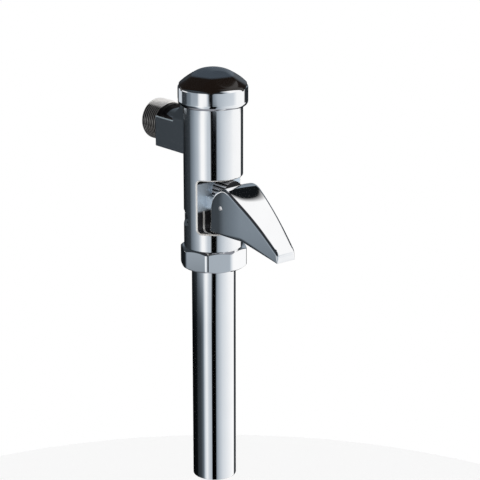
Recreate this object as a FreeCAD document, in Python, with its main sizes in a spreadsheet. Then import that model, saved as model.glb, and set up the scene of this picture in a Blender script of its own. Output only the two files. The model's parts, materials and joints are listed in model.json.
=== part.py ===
"""Wall-mounted toilet flush valve with a press lever and a chromed flush pipe, in millimetres.

The origin is the centre of the inlet's end face. +Y is the inlet's axis and points into the wall,
+Z is up, and the lever points along -Y. Heights are written from the inlet's axis. Depths of the
valve's own pieces are written from the upright axis of the valve, which stands inlet_reach in
front of the wall end of the inlet.
"""
import FreeCAD, Part
import math
import os
import re

Vector = FreeCAD.Vector
document = FreeCAD.newDocument("flush_valve")
sheet = document.addObject("Spreadsheet::Sheet", "Sizes")

# Driving dimensions
SIZES = {
    # valve body
    "body_radius": 18.7, "body_bottom": -71.9, "shoulder_height": 18.5,
    "neck_radius": 17.2, "neck_top": 25.0, "chamber_radius": 14.5, "chamber_floor": -16.0,
    "passage_radius": 9.2, "passage_offset": 5.2, "passage_bottom": -62.0,
    "spigot_radius": 16.4, "spigot_bottom": -80.0,
    # inlet arm
    "inlet_reach": 57.0, "arm_half_width": 15.0, "arm_upper": 6.8, "arm_lower": -12.6,
    "arm_length": 39.5, "arm_neck": 10.4, "flare_radius": 17.4, "flare_start": 28.5,
    "thread_radius": 13.2, "thread_root": 12.1, "thread_pitch": 1.814, "thread_turns": 8.0,
    "inlet_bore": 9.0, "inlet_bore_depth": 14.0, "duct_radius": 8.0,
    "thread_lead": 0.35, "thread_flank": 0.3, "thread_land": 0.3,
    # window for the lever, and the air slots
    "window_top": -26.2, "window_bottom": -60.0, "window_back": -5.5, "window_corner": 2.5,
    "window_round": 1.0,
    "air_slot_top": -47.2, "air_slot_low": -58.2, "air_slot_depth": 3.0, "air_slot_angle": 120.0,
    "air_slot_half_width": 7.0, "air_slot_slope": 0.62, "air_slot_skin": 0.5,
    "air_hole_radius": 1.8, "air_hole_height": -55.0,
    # cap
    "ring_radius": 21.9, "ring_round": 3.0, "ring_shelf": 29.4, "ring_top": 31.8, "ring_crown": 2.2,
    "cover_side": 29.85, "cover_bulge": 8.75, "cover_turn": 48.5, "facet_edge_height": 31.9,
    "facet_slope": 33.5, "dome_height": 42.0, "dome_radius": 28.0, "cover_plug_low": 28.5,
    "cover_wall": 2.2, "cover_gap": 0.1,
    "bonnet_thickness": 3.0, "bonnet_spigot": 5.5, "bonnet_groove": 12.8, "groove_width": 2.0,
    "groove_start": 1.5,
    # seat and piston
    "seat_radius": 11.0, "seat_bore": 8.0, "seat_depth": 4.0, "seat_lip": 0.5, "seat_lip_width": 1.2,
    "piston_disc": 10.6, "piston_waist": 7.0, "piston_flange": 14.0, "piston_hub": 6.5,
    "piston_flange_low": 8.0, "piston_flange_high": 9.5, "piston_hub_top": 13.0,
    "disc_thickness": 3.0, "washer_thickness": 2.0, "hub_tail": 4.5, "relief_bore": 3.0,
    "relief_chamber": 4.9, "relief_seat": -4.0, "cup_height": 2.8, "cup_wall": 1.2, "cap_nut_flats": 17.0,
    "cap_nut_floor": 1.8, "retainer_radius": 6.8, "retainer_thickness": 1.6, "bleed_radius": 0.6,
    # relief valve
    "stem_radius": 1.2, "stem_bottom": -40.0, "relief_head": 4.2, "relief_head_thickness": 1.4,
    "relief_seal_thickness": 0.7, "relief_coils": 6.0,
    "relief_wire": 0.7, "relief_spring_inset": 1.2, "relief_spring_start": 0.8,
    "nozzle_radius": 1.2, "nozzle_height": 3.0,
    # pull rod and its gland
    "rod_height": -34.3, "rod_radius": 1.5, "rod_end": -25.0, "ball_radius": 1.9, "eye_radius": 2.7,
    "eye_bore": 1.6, "eye_height": 2.4, "boss_radius": 6.5, "boss_front": -16.0, "gland_bore": 4.2,
    "gland_seat": -7.3, "rod_pocket": 3.4, "rod_pocket_front": -5.3, "rod_collar": 3.2,
    "rod_collar_back": -11.0, "rod_collar_thickness": 1.2, "bush_thickness": 1.4,
    "gland_nut_radius": 7.8, "gland_nut_back": -8.0, "gland_nut_floor": -17.6,
    "gland_nut_front": -19.8, "knurl_count": 36.0, "knurl_depth": 0.35, "spring_wire": 0.6,
    "rod_coils": 4.0, "rod_spring_inset": 0.4,
    # lever and its pin
    "pivot_depth": -22.7, "pivot_height": -41.0, "pin_radius": 1.5, "lug_inner": 8.8, "lug_outer": 10.4,
    "lug_radius": 4.0, "lever_half_width": 12.8, "lever_tip_half_width": 7.0, "lever_wall": 2.0,
    "lever_back": -11.6, "lever_low": -58.0, "heel_height": -42.0, "heel_bend": -14.0,
    "heel_bend_height": -34.4, "ridge_start": -20.0, "ridge_height": -29.6, "ridge_rise": 1.8,
    "slope_start": -30.0, "nose_back": -67.4, "nose_height": -58.0, "nose_bend": -69.25,
    "nose_bend_height": -60.2, "lever_tip": -69.6, "tip_height": -62.6, "tip_low": -66.5,
    "plate_middle": -49.55, "plate_middle_height": -42.7, "sole_front": -40.9,
    "sole_height": -58.4, "lever_crown": 55.0, "lever_rear_wall": -21.0, "rear_wall_low": -36.4,
    "opening_front": -38.0, "opening_height": -42.0, "slot_play": 0.3, "slot_rise": 1.6,
    "pin_inset": 0.3,
    # flush pipe and its union
    "pipe_radius": 14.0, "pipe_wall": 1.0, "pipe_neck": 13.7, "pipe_bottom": -229.0,
    "nut_flats": 40.0, "nut_bottom": -85.3, "nut_turn": 39.0, "nut_floor": 2.0, "nut_edge": 1.2,
    "gasket_thickness": 2.4, "neck_start": 1.1, "nut_edge_inset": 0.6,
    # air break and strainer
    "sleeve_top": -46.0, "sleeve_wall": 1.0, "cage_thickness": 1.8,
    "cage_hole": 8.2, "cage_hole_offset": 3.0,
    "strainer_length": 15.0, "strainer_wall": 0.8, "strainer_hole": 1.1, "strainer_pitch": 3.4,
    "strainer_lead": 4.0, "strainer_rows": 3.0, "strainer_columns": 4.0,
    "strainer_flange": 8.6, "strainer_play": 0.2, "strainer_flange_thickness": 1.2,
    # clearances
    "press_gap": 0.02, "fit_gap": 0.05, "seat_gap": 0.1, "end_gap": 0.3,
}
for row, (alias, number) in enumerate(SIZES.items(), start=1):
    sheet.set(f"A{row}", alias)
    sheet.set(f"B{row}", str(number))
    sheet.setAlias(f"B{row}", alias)
document.recompute()


PIECES = []


# Helpers: sizes, expressions and places
def size(alias):
    """The number that the sheet holds under a word."""
    return float(getattr(sheet, alias))


def bind(item, **formulas):
    """Ties properties of an object to formulas in the words of the sheet."""
    for name, formula in formulas.items():
        words = re.sub(r"[a-z][a-z_]+(?!\()\b", lambda found: sheet_word(found.group(0)), str(formula))
        item.setExpression(name.replace("__", "."), words)
    return item


def sheet_word(word):
    """A word of the sheet with the sheet's name before it; any other word stays."""
    return f"Sizes.{word}" if word in SIZES else word


TURNS = {
    "Z": FreeCAD.Rotation(),
    "Y": FreeCAD.Rotation(Vector(1, 0, 0), -90),
    "X": FreeCAD.Rotation(Vector(0, 1, 0), 90),
}


def add(kind, name):
    """A new object of the document."""
    return document.addObject(kind, name)


def put(item, x="0", y="0", z="0", axis="Z"):
    """Places an object at x, y, z; y is measured from the valve's upright axis."""
    item.Placement = FreeCAD.Placement(Vector(), TURNS[axis])
    return bind(item, Placement__Base__x=x, Placement__Base__y=f"{y} - inlet_reach", Placement__Base__z=z)


def rod(name, radius, low, high, axis="Z", x="0", y="0", z="0"):
    """A cylinder along an axis, from low to high on that axis."""
    item = bind(add("Part::Cylinder", name), Radius=radius, Height=f"({high}) - ({low})")
    start = {"X": (low, y, z), "Y": (x, low, z), "Z": (x, y, low)}[axis]
    return put(item, *start, axis=axis)


def cone(name, low_radius, high_radius, low, high, axis="Z", x="0", y="0", z="0"):
    """A cone along an axis, from low to high on that axis."""
    item = bind(add("Part::Cone", name), Radius1=low_radius, Radius2=high_radius,
                Height=f"({high}) - ({low})")
    start = {"X": (low, y, z), "Y": (x, low, z), "Z": (x, y, low)}[axis]
    return put(item, *start, axis=axis)


def block(name, x, y, z):
    """A box from pairs of low and high ends."""
    item = add("Part::Box", name)
    bind(item, Length=f"({x[1]}) - ({x[0]})", Width=f"({y[1]}) - ({y[0]})", Height=f"({z[1]}) - ({z[0]})")
    return put(item, x[0], y[0], z[0])


def ring(name, radius, section, axis="Z", x="0", y="0", z="0"):
    """A torus whose axis runs along the given axis."""
    item = bind(add("Part::Torus", name), Radius1=radius, Radius2=section)
    return put(item, x, y, z, axis=axis)


def join(name, *items):
    """One solid from several."""
    item = add("Part::MultiFuse", name)
    item.Shapes = list(items)
    item.Refine = True
    return item


def cut(name, base, *tools):
    """The base with the tools taken away."""
    item = add("Part::Cut", name)
    item.Base = base
    item.Tool = tools[0] if len(tools) == 1 else join(f"{name}_tools", *tools)
    item.Refine = True
    return item


def common(name, *items):
    """What several solids share."""
    item = add("Part::MultiCommon", name)
    item.Shapes = list(items)
    item.Refine = True
    return item


def fixed(name, shape):
    """A shape worked out from the sheet's sizes, in the part's own frame."""
    item = add("Part::Feature", name)
    item.Shape = shape
    return item


def keep(item, label):
    """Marks an object as one of the finished pieces."""
    item.Label = label
    PIECES.append(item)
    return item


def depth(value):
    """A depth from the valve's upright axis, as a place in the part's frame."""
    return value - size("inlet_reach")


def prism(points, along, place=Vector()):
    """A closed outline of points, carried along a vector."""
    outline = Part.makePolygon([point + place for point in points] + [points[0] + place])
    return Part.Face(outline).extrude(along)



# Valve body
def thread_ridges():
    """The inlet's thread as level ridges, each a trapezium turned round the inlet's axis."""
    root, crest, pitch = size("thread_root"), size("thread_radius"), size("thread_pitch")
    points = [Vector(root - 1, 0, 0), Vector(root, 0, 0)]
    flank, land = size("thread_flank") * pitch, size("thread_land") * pitch
    for turn in range(int(size("thread_turns"))):
        start = -size("thread_lead") - turn * pitch
        points += [Vector(root, start, 0), Vector(crest, start - flank, 0)]
        points += [Vector(crest, start - flank - land, 0), Vector(root, start - 2 * flank - land, 0)]
    points.append(Vector(root - 1, points[-1].y, 0))
    outline = Part.Face(Part.makePolygon(points + points[:1]))
    return outline.revolve(Vector(), Vector(0, 1, 0), 360)


def arm_flare():
    """The neck of the arm turned round the inlet's axis: straight, then flaring into the barrel."""
    neck, wide, start = size("arm_neck"), size("flare_radius"), size("flare_start")
    sweep = wide - neck
    half = sweep * (1 - math.cos(math.pi / 4))
    end = size("arm_length")
    bend = Part.Arc(Vector(neck, depth(start), 0), Vector(neck + half, depth(start - sweep + half), 0),
                    Vector(wide, depth(start - sweep), 0))
    corners = [Vector(wide, depth(start - sweep), 0), Vector(wide, depth(0), 0), Vector(0, depth(0), 0),
               Vector(0, depth(end), 0), Vector(neck, depth(end), 0), Vector(neck, depth(start), 0)]
    outline = Part.Wire([bend.toShape()] + Part.makePolygon(corners).Edges)
    return Part.Face(outline).revolve(Vector(), Vector(0, 1, 0), 360)


def air_slot(side):
    """The slanted notch that lets air into the outlet, on one side of the body."""
    outer = size("body_radius") + size("air_slot_skin")
    inner = size("body_radius") - size("air_slot_depth")
    top, low, half = size("air_slot_top"), size("air_slot_low"), size("air_slot_half_width")
    middle = top + size("air_slot_slope") * (low - top)
    points = [Vector(outer, -half, top), Vector(inner, -half, middle),
              Vector(inner, -half, middle - 1), Vector(outer, -half, low - size("air_slot_skin"))]
    slot = prism(points, Vector(0, 2 * half, 0))
    slot.rotate(Vector(), Vector(0, 0, 1), -90 + side * size("air_slot_angle"))
    slot.translate(Vector(0, depth(0), 0))
    return slot


STRAINER_FRONT = "inlet_reach - inlet_bore_depth - seat_gap"
outer_body = join(
    "outer_body",
    rod("barrel", "body_radius", "body_bottom", "shoulder_height"),
    rod("neck", "neck_radius", "shoulder_height", "neck_top"),
    rod("spigot", "spigot_radius", "spigot_bottom", "body_bottom"),
    block("arm_block", ("-arm_half_width", "arm_half_width"), ("0", "arm_length"),
          ("arm_lower", "arm_upper")),
    common("arm_neck_solid", fixed("arm_flare_solid", arm_flare()),
           block("arm_sides", ("-arm_half_width", "arm_half_width"), ("0", "arm_length"),
                 ("-flare_radius", "flare_radius"))),
    rod("inlet_barrel", "thread_root", "arm_length", "inlet_reach", axis="Y"),
    fixed("inlet_thread", thread_ridges()),
)
window = block("window", ("-body_radius - 1", "body_radius + 1"), ("-body_radius - 1", "window_back"),
               ("window_bottom", "window_top"))
rounded_window = add("Part::Fillet", "rounded_window")
rounded_window.Base = window
document.recompute()


def edges_where(shape, test):
    """The numbers of the edges of a shape whose middle passes a test."""
    return [index for index, edge in enumerate(shape.Edges, start=1) if test(edge, edge.CenterOfMass)]


back_edges = edges_where(window.Shape, lambda edge, middle: abs(middle.y - depth(size("window_back"))) < 0.01
                         and abs(middle.x) < 0.01)
rounded_window.Edges = [(index, size("window_corner"), size("window_corner")) for index in back_edges]

hollows = (
    rod("chamber", "chamber_radius", "chamber_floor", "neck_top + 1"),
    rod("seat_pocket", "seat_radius + fit_gap", "chamber_floor - seat_depth", "chamber_floor + 1"),
    rod("passage", "passage_radius", "passage_bottom - 1", "chamber_floor - seat_depth + seat_lip",
        y="passage_offset"),
    rod("socket", "pipe_neck + fit_gap", "spigot_bottom - 1", "passage_bottom"),
    rod("duct", "duct_radius", "2", "inlet_reach + 1", axis="Y"),
    rod("inlet_mouth", "inlet_bore", "inlet_reach - inlet_bore_depth", "inlet_reach + 1", axis="Y"),
    rod("strainer_seat", "strainer_flange + fit_gap", f"{STRAINER_FRONT} - strainer_flange_thickness",
        "inlet_reach", axis="Y"),
    rounded_window,
    fixed("left_air_slot", air_slot(-1)),
    fixed("right_air_slot", air_slot(1)),
    rod("air_hole", "air_hole_radius", "-body_radius", "body_radius", axis="X",
        y="passage_offset + air_hole_radius", z="air_hole_height"),
)
gland_boss = join(
    "gland_boss_solid",
    rod("gland_boss", "boss_radius", "boss_front", "window_back + 1", axis="Y", z="rod_height"),
    *[block(f"lug_arm_{side}", (low, high), ("pivot_depth", "window_back + 1"),
            ("pivot_height - lug_radius", "pivot_height + lug_radius"))
      for side, low, high in (("left", "-lug_outer", "-lug_inner"), ("right", "lug_inner", "lug_outer"))],
    *[rod(f"lug_eye_{side}", "lug_radius", low, high, axis="X", y="pivot_depth", z="pivot_height")
      for side, low, high in (("left", "-lug_outer", "-lug_inner"), ("right", "lug_inner", "lug_outer"))],
)
gland_holes = (
    rod("gland_cavity", "gland_bore", "boss_front - 1", "gland_seat", axis="Y", z="rod_height"),
    rod("rod_hole", "rod_radius + fit_gap", "gland_seat - 1", "0", axis="Y", z="rod_height"),
    rod("eye_pocket", "rod_pocket", "rod_pocket_front", "0", axis="Y", z="rod_height"),
    rod("pin_hole", "pin_radius + press_gap", "-lug_outer - 1", "lug_outer + 1", axis="X", y="pivot_depth",
        z="pivot_height"),
)
hollow_body = cut("hollow_body", outer_body, *hollows)
document.recompute()


def on_window_rim(edge, middle):
    """Whether an edge lies both on the barrel's outside and on the window's outline."""
    first, last = edge.ParameterRange
    places = [edge.valueAt(first + (last - first) * share) for share in (0.1, 0.5, 0.9)]
    spread = [abs(math.hypot(place.x, place.y - depth(0)) - size("body_radius")) for place in places]
    return (max(spread) < 0.02 and middle.y < depth(size("window_back")) + 0.02
            and size("window_bottom") - 0.02 < middle.z < size("window_top") + 0.02)


soft_body = add("Part::Fillet", "soft_body")
soft_body.Base = hollow_body
soft_body.Edges = [(index, size("window_round"), size("window_round"))
                   for index in edges_where(hollow_body.Shape, on_window_rim)]
keep(cut("valve_body_solid", join("body_with_boss", soft_body, gland_boss), *gland_holes), "valve_body")


# Cap: bonnet, seal, ring and faceted cover
def facet_pyramid():
    """A six-sided pyramid whose faces are the cap's facets."""
    slope = math.radians(size("facet_slope"))
    edge = size("ring_radius")
    rise = edge * math.tan(slope)
    base = size("facet_edge_height") - rise
    top = size("facet_edge_height") + rise
    apothem = edge * 2
    corner = apothem / math.cos(math.pi / 6)
    turns = [math.radians(size("cover_turn") + 60 * index) for index in range(6)]
    foot = [Vector(corner * math.cos(turn), corner * math.sin(turn), base) for turn in turns]
    tip = Vector(0, 0, top)
    faces = [Part.Face(Part.makePolygon([foot[i - 1], foot[i], tip, foot[i - 1]])) for i in range(6)]
    faces.append(Part.Face(Part.makePolygon(foot + foot[:1])))
    solid = Part.Solid(Part.Shell(faces))
    solid.translate(Vector(0, depth(0), 0))
    return solid


GROOVE_LOW = "neck_top - bonnet_spigot + groove_start"
keep(cut(
    "bonnet_solid",
    join("bonnet_blank", rod("bonnet_disc", "neck_radius", "neck_top", "neck_top + bonnet_thickness"),
         rod("bonnet_spigot_rod", "chamber_radius - fit_gap", "neck_top - bonnet_spigot", "neck_top")),
    cut("bonnet_groove_ring",
        rod("groove_outer", "chamber_radius + 1", GROOVE_LOW, f"{GROOVE_LOW} + groove_width"),
        rod("groove_inner", "bonnet_groove", GROOVE_LOW, f"{GROOVE_LOW} + groove_width")),
), "bonnet")
keep(ring("bonnet_seal", "(bonnet_groove + chamber_radius) / 2",
          "(chamber_radius - bonnet_groove) / 2 - press_gap",
          z=f"{GROOVE_LOW} + groove_width / 2"), "bonnet_o_ring")


def bowed_hexagon(name, side, low, high):
    """What six wide upright cylinders share: a six-sided outline with slightly bowed sides."""
    turns = [f"cover_turn * 1 deg + {60 * index + 30} deg" for index in range(6)]
    return common(name, *[
        rod(f"{name}_{index}", side, low, high, x=f"-cover_bulge * cos({turn})",
            y=f"-cover_bulge * sin({turn})")
        for index, turn in enumerate(turns)])


ring_blank = rod("ring_blank", "ring_radius", "shoulder_height", "ring_top")
rounded_ring = add("Part::Fillet", "rounded_ring")
rounded_ring.Base = ring_blank
document.recompute()
rounds = []
for height, radius in ((size("shoulder_height"), size("ring_round")), (size("ring_top"), size("ring_crown"))):
    rims = edges_where(ring_blank.Shape, lambda edge, middle: abs(middle.z - height) < 0.01
                       and edge.Length > size("ring_radius"))
    rounds += [(index, radius, radius) for index in rims]
rounded_ring.Edges = rounds
keep(cut(
    "cap_ring_solid",
    rounded_ring,
    rod("ring_thread_bore", "neck_radius + fit_gap", "shoulder_height - 1",
        "neck_top + bonnet_thickness + fit_gap"),
    rod("ring_eye", "chamber_radius", "shoulder_height", "ring_top + 1"),
    bowed_hexagon("cover_recess", "cover_side + cover_gap", "ring_shelf", "ring_top + 1"),
), "cap_ring")

dome = bind(add("Part::Sphere", "dome"), Radius="dome_radius")
put(dome, z="dome_height - dome_radius")
PLUG_RADIUS = "chamber_radius - cover_gap"
keep(cut(
    "cap_cover_solid",
    join("cover_blank",
         rod("cover_plug", PLUG_RADIUS, "cover_plug_low", "ring_shelf + 2 * fit_gap"),
         common("cover_head", fixed("cover_facets", facet_pyramid()),
                bowed_hexagon("cover_outline", "cover_side", "ring_shelf + fit_gap", "dome_height"),
                rod("cover_round", "ring_radius", "ring_shelf + fit_gap", "dome_height"), dome)),
    rod("cover_hollow", f"{PLUG_RADIUS} - cover_wall", "cover_plug_low - 1", "ring_shelf"),
    cone("cover_attic", f"{PLUG_RADIUS} - cover_wall", f"{PLUG_RADIUS} - 4 * cover_wall", "ring_shelf - 0.01",
         "ring_shelf + 2 * cover_wall"),
), "cap_cover")

# Main seat
keep(cut(
    "seat_ring_solid",
    join("seat_blank", rod("seat_disc", "seat_radius", "chamber_floor - seat_depth", "chamber_floor"),
         rod("seat_lip_rod", "seat_bore + seat_lip_width", "chamber_floor", "chamber_floor + seat_lip")),
    rod("seat_hole", "seat_bore", "chamber_floor - seat_depth - 1", "chamber_floor + seat_lip + 1"),
), "seat_ring")

# Piston with its cup, washer, retainer and cap nut
WASHER_LOW = "chamber_floor + seat_lip + seat_gap"
DISC_LOW = f"{WASHER_LOW} + washer_thickness"
DISC_TOP = f"{DISC_LOW} + disc_thickness"
keep(cut(
    "piston_solid",
    join("piston_blank",
         rod("piston_tail", "hub_tail", f"{WASHER_LOW} - retainer_thickness", DISC_LOW),
         rod("piston_disc_rod", "piston_disc", DISC_LOW, DISC_TOP),
         rod("piston_waist_rod", "piston_waist", DISC_TOP, "piston_flange_low"),
         rod("piston_flange_rod", "piston_flange", "piston_flange_low", "piston_flange_high"),
         rod("piston_hub_rod", "piston_hub", "piston_flange_high", "piston_hub_top")),
    rod("piston_bore", "relief_bore", f"{WASHER_LOW} - retainer_thickness - 1", "relief_seat + 1"),
    rod("piston_chamber", "relief_chamber", "relief_seat", "piston_hub_top + 1"),
    rod("nozzle_hole", "nozzle_radius + press_gap", "0", "piston_waist + 1", axis="X", z="nozzle_height"),
), "piston")
keep(cut("piston_cup_solid",
         rod("cup_blank", "chamber_radius - fit_gap", "piston_flange_high",
             "piston_flange_high + cup_height"),
         rod("cup_eye", "piston_hub + press_gap", "piston_flange_high - 1",
             "piston_flange_high + cup_height + 1"),
         cut("cup_groove",
             rod("cup_groove_outer", "chamber_radius - cup_wall", "piston_flange_high + cup_wall",
                 "piston_flange_high + cup_height + 1"),
             rod("cup_groove_inner", "cap_nut_flats / 2 + cup_wall", "piston_flange_high + 1",
                 "piston_flange_high + cup_height + 2"))), "piston_cup")
cap_nut_blank = bind(add("Part::Prism", "cap_nut_blank"), Circumradius="cap_nut_flats / 2 / cos(30 deg)",
                     Height="piston_hub_top + cap_nut_floor - piston_flange_high - cup_height")
cap_nut_blank.Polygon = 6
put(cap_nut_blank, z="piston_flange_high + cup_height")
keep(cut("piston_cap_nut_solid", cap_nut_blank,
         rod("cap_nut_bore", "piston_hub + press_gap", "piston_flange_high", "piston_hub_top + press_gap"),
         rod("bleed_hole", "bleed_radius", "piston_hub_top - 1", "piston_hub_top + cap_nut_floor + 1")),
     "piston_cap_nut")
keep(cut("seat_washer_solid", rod("washer_blank", "piston_disc", WASHER_LOW, DISC_LOW),
         rod("washer_hole", "hub_tail + press_gap", f"{WASHER_LOW} - 1", f"{DISC_LOW} + 1")), "seat_washer")
keep(cut("washer_retainer_solid",
         rod("retainer_blank", "retainer_radius", f"{WASHER_LOW} - retainer_thickness", WASHER_LOW),
         rod("retainer_hole", "hub_tail + press_gap", f"{WASHER_LOW} - retainer_thickness - 1",
             f"{WASHER_LOW} + 1")),
     "washer_retainer")
keep(cut("bypass_nozzle_solid",
         rod("nozzle_blank", "nozzle_radius", "relief_chamber - end_gap", "piston_waist", axis="X",
             z="nozzle_height"),
         rod("nozzle_bore", "nozzle_radius / 4", "0", "piston_waist + 1", axis="X", z="nozzle_height")),
     "bypass_nozzle")


# Springs
def coil(radius, wire, low, high, turns):
    """A coil spring along Z between two heights: half turns, each a tilted half ring of round wire."""
    rise = (high - low - 2 * wire) / (2 * turns)
    pieces = []
    for half_turn in range(2 * turns):
        side = 1 if half_turn % 2 == 0 else -1
        start = Vector(side * radius, 0, low + wire + half_turn * rise)
        section = Part.Face(Part.Wire(Part.makeCircle(wire, start, Vector(0, 1, 0))))
        middle = Vector(0, 0, start.z + rise / 2)
        pieces.append(section.revolve(middle, Vector(side * rise / 2, 0, radius), 180))
    return pieces[0].multiFuse(pieces[1:]).removeSplitter()


# Relief valve, hung in the piston
SEAL_TOP = "relief_seat + relief_seal_thickness"
keep(join("relief_stem_solid",
          rod("relief_head_rod", "relief_head", SEAL_TOP, f"{SEAL_TOP} + relief_head_thickness"),
          rod("relief_stem_rod", "stem_radius", "stem_bottom", f"{SEAL_TOP} + 0.1")), "relief_stem")
keep(cut("relief_seal_solid", rod("relief_seal_blank", "relief_head", "relief_seat + fit_gap", SEAL_TOP),
         rod("relief_seal_hole", "stem_radius + press_gap", "relief_seat - 1", f"{SEAL_TOP} + 1")),
     "relief_seal")
spring_low = sum(size(word) for word in ("relief_seat", "relief_seal_thickness", "relief_head_thickness",
                                         "relief_spring_start"))
relief_coil = coil(size("relief_chamber") - size("relief_spring_inset"), size("relief_wire") / 2, spring_low,
                   size("piston_hub_top"), int(size("relief_coils")))
relief_coil.translate(Vector(0, depth(0), 0))
keep(fixed("relief_coil", relief_coil), "relief_spring")

# Pull rod, its seal, bush, spring and gland nut
rod_ball = bind(add("Part::Sphere", "rod_ball"), Radius="ball_radius")
put(rod_ball, y="rod_end", z="rod_height")
keep(cut("pull_rod_solid",
         join("pull_rod_blank", rod_ball,
              rod("rod_shaft", "rod_radius", "rod_end", "-eye_radius / 2", axis="Y", z="rod_height"),
              rod("rod_eye", "eye_radius", "rod_height - eye_height / 2", "rod_height + eye_height / 2"),
              rod("rod_collar_disc", "rod_collar", "rod_collar_back - rod_collar_thickness",
                  "rod_collar_back", axis="Y", z="rod_height")),
         rod("rod_eye_hole", "eye_bore", "rod_height - eye_height", "rod_height + eye_height")), "pull_rod")
keep(ring("rod_seal", "(rod_radius + gland_bore) / 2", "(gland_bore - rod_radius) / 2 - press_gap", axis="Y",
          y="gland_seat - (gland_bore - rod_radius) / 2", z="rod_height"), "rod_o_ring")
BUSH_BACK = "gland_seat - (gland_bore - rod_radius)"
keep(cut("rod_bush_solid",
         rod("bush_blank", "gland_bore - press_gap", f"{BUSH_BACK} - bush_thickness / 2", BUSH_BACK, axis="Y",
             z="rod_height"),
         rod("bush_hole", "rod_radius + fit_gap", f"{BUSH_BACK} - bush_thickness", f"{BUSH_BACK} + 1",
             axis="Y", z="rod_height")), "rod_bush")
rod_coil = coil(size("rod_collar") - size("rod_spring_inset"), size("spring_wire") / 2, 0,
                size("rod_collar_back") - size("rod_collar_thickness") - size("gland_nut_floor"),
                int(size("rod_coils")))
rod_coil.rotate(Vector(), Vector(1, 0, 0), -90)
rod_coil.translate(Vector(0, depth(size("gland_nut_floor")), size("rod_height")))
keep(fixed("rod_coil", rod_coil), "rod_spring")


def knurl():
    """A ridged disc outline carried along the gland nut: a star of shallow teeth."""
    count, outer = int(size("knurl_count")), size("gland_nut_radius")
    radii = (outer, outer - size("knurl_depth"))
    points = []
    for tooth in range(2 * count):
        turn = math.pi * tooth / count
        points.append(Vector(radii[tooth % 2] * math.cos(turn), 0, radii[tooth % 2] * math.sin(turn)))
    length = size("gland_nut_back") - size("gland_nut_front")
    return prism(points, Vector(0, length, 0), Vector(0, depth(size("gland_nut_front")), size("rod_height")))


keep(cut("gland_nut_solid", fixed("gland_nut_knurl", knurl()),
         rod("gland_nut_bore", "boss_radius + fit_gap", "gland_nut_floor", "gland_nut_back + 1", axis="Y",
             z="rod_height"),
         rod("gland_nut_eye", "rod_radius + fit_gap", "gland_nut_front - 1", "gland_nut_floor + 1", axis="Y",
             z="rod_height")), "gland_nut")


# Lever
def lever_shape():
    """A tapering hollow lever: a side outline narrowed in plan, crowned on top and emptied from below."""
    wall, half, tip_half = size("lever_wall"), size("lever_half_width"), size("lever_tip_half_width")
    tip, slope_start, rear = size("lever_tip"), size("slope_start"), size("lever_rear_wall")
    wide = half + 1
    deep = size("tip_low") - half
    across = Vector(2 * wide, 0, 0)

    def at(y, z):
        return Vector(-wide, depth(y), z)

    heel_low = at(size("lever_back"), size("lever_low"))
    heel_top = at(size("lever_back"), size("heel_height"))
    heel_bend = at(size("heel_bend"), size("heel_bend_height"))
    ridge_back = at(size("ridge_start"), size("ridge_height"))
    ridge_middle = at((size("ridge_start") + slope_start) / 2, size("ridge_height") + size("ridge_rise"))
    ridge_front = at(slope_start, size("ridge_height"))
    nose_top = at(size("nose_back"), size("nose_height"))
    nose_bend = at(size("nose_bend"), size("nose_bend_height"))
    nose_front = at(tip, size("tip_height"))
    nose_low = at(tip, size("tip_low"))
    sole_end = at(size("sole_front"), size("sole_height"))
    plate = Part.Arc(ridge_front, at(size("plate_middle"), size("plate_middle_height")), nose_top)
    edges = [
        Part.LineSegment(heel_low, heel_top),
        Part.Arc(heel_top, heel_bend, ridge_back),
        Part.Arc(ridge_back, ridge_middle, ridge_front),
        plate,
        Part.Arc(nose_top, nose_bend, nose_front),
        Part.LineSegment(nose_front, nose_low),
        Part.LineSegment(nose_low, sole_end),
        Part.LineSegment(sole_end, heel_low),
    ]
    side = Part.Face(Part.Wire([edge.toShape() for edge in edges]))

    def plan(inset):
        """The lever seen from above, as a tall prism, moved in by inset."""
        corners = [(-half + inset, 0), (half - inset, 0), (half - inset, slope_start),
                   (tip_half - inset, tip - 1), (-tip_half + inset, tip - 1), (-half + inset, slope_start)]
        return prism([Vector(x, depth(y), deep) for x, y in corners], Vector(0, 0, -deep))

    solid = side.extrude(across).common(plan(0))
    crown = size("lever_crown")
    bow = plate.toShape().Curve
    centre = Vector(0, bow.Center.y, bow.Center.z)
    solid = solid.common(Part.makeTorus(bow.Radius - crown, crown, centre, Vector(1, 0, 0)))

    inner_back = rear - wall
    cavity = side.makeOffset2D(-wall).extrude(across)
    cavity = cavity.common(prism([at(inner_back, deep), at(inner_back, 0), at(tip + wall, 0),
                                  at(tip + wall, deep)], across))
    rear_low = size("rear_wall_low")
    sole = prism([at(0, deep), at(0, rear_low), at(slope_start - 1, rear_low),
                  at(size("opening_front"), size("opening_height")),
                  at(tip + 2 * wall, size("tip_low") + 2 * wall), at(tip + wall, size("tip_low") + wall),
                  at(tip + wall, deep)], across)
    behind = prism([at(0, deep), at(0, 0), at(rear, 0), at(rear, deep)], across)
    inside = plan(wall)
    for hollow in (cavity, sole, behind):
        solid = solid.cut(hollow.common(inside))

    reach = size("rod_radius") + size("slot_play")
    rise, rod_height = size("slot_rise"), size("rod_height")
    slot_y = depth(inner_back - 1)
    slot = Part.makeBox(2 * reach, wall + 2, rise, Vector(-reach, slot_y, rod_height))
    for height in (rod_height, rod_height + rise):
        slot = slot.fuse(Part.makeCylinder(reach, wall + 2, Vector(0, slot_y, height), Vector(0, 1, 0)))
    hole = Part.makeCylinder(size("pin_radius") + size("fit_gap"), 2 * wide,
                             at(size("pivot_depth"), size("pivot_height")), Vector(1, 0, 0))
    return solid.cut(slot).cut(hole).removeSplitter()


keep(fixed("lever_solid", lever_shape()), "lever")
keep(rod("pivot_pin_rod", "pin_radius", "pin_inset - lever_half_width", "lever_half_width - pin_inset",
         axis="X", y="pivot_depth", z="pivot_height"), "pivot_pin")


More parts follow.
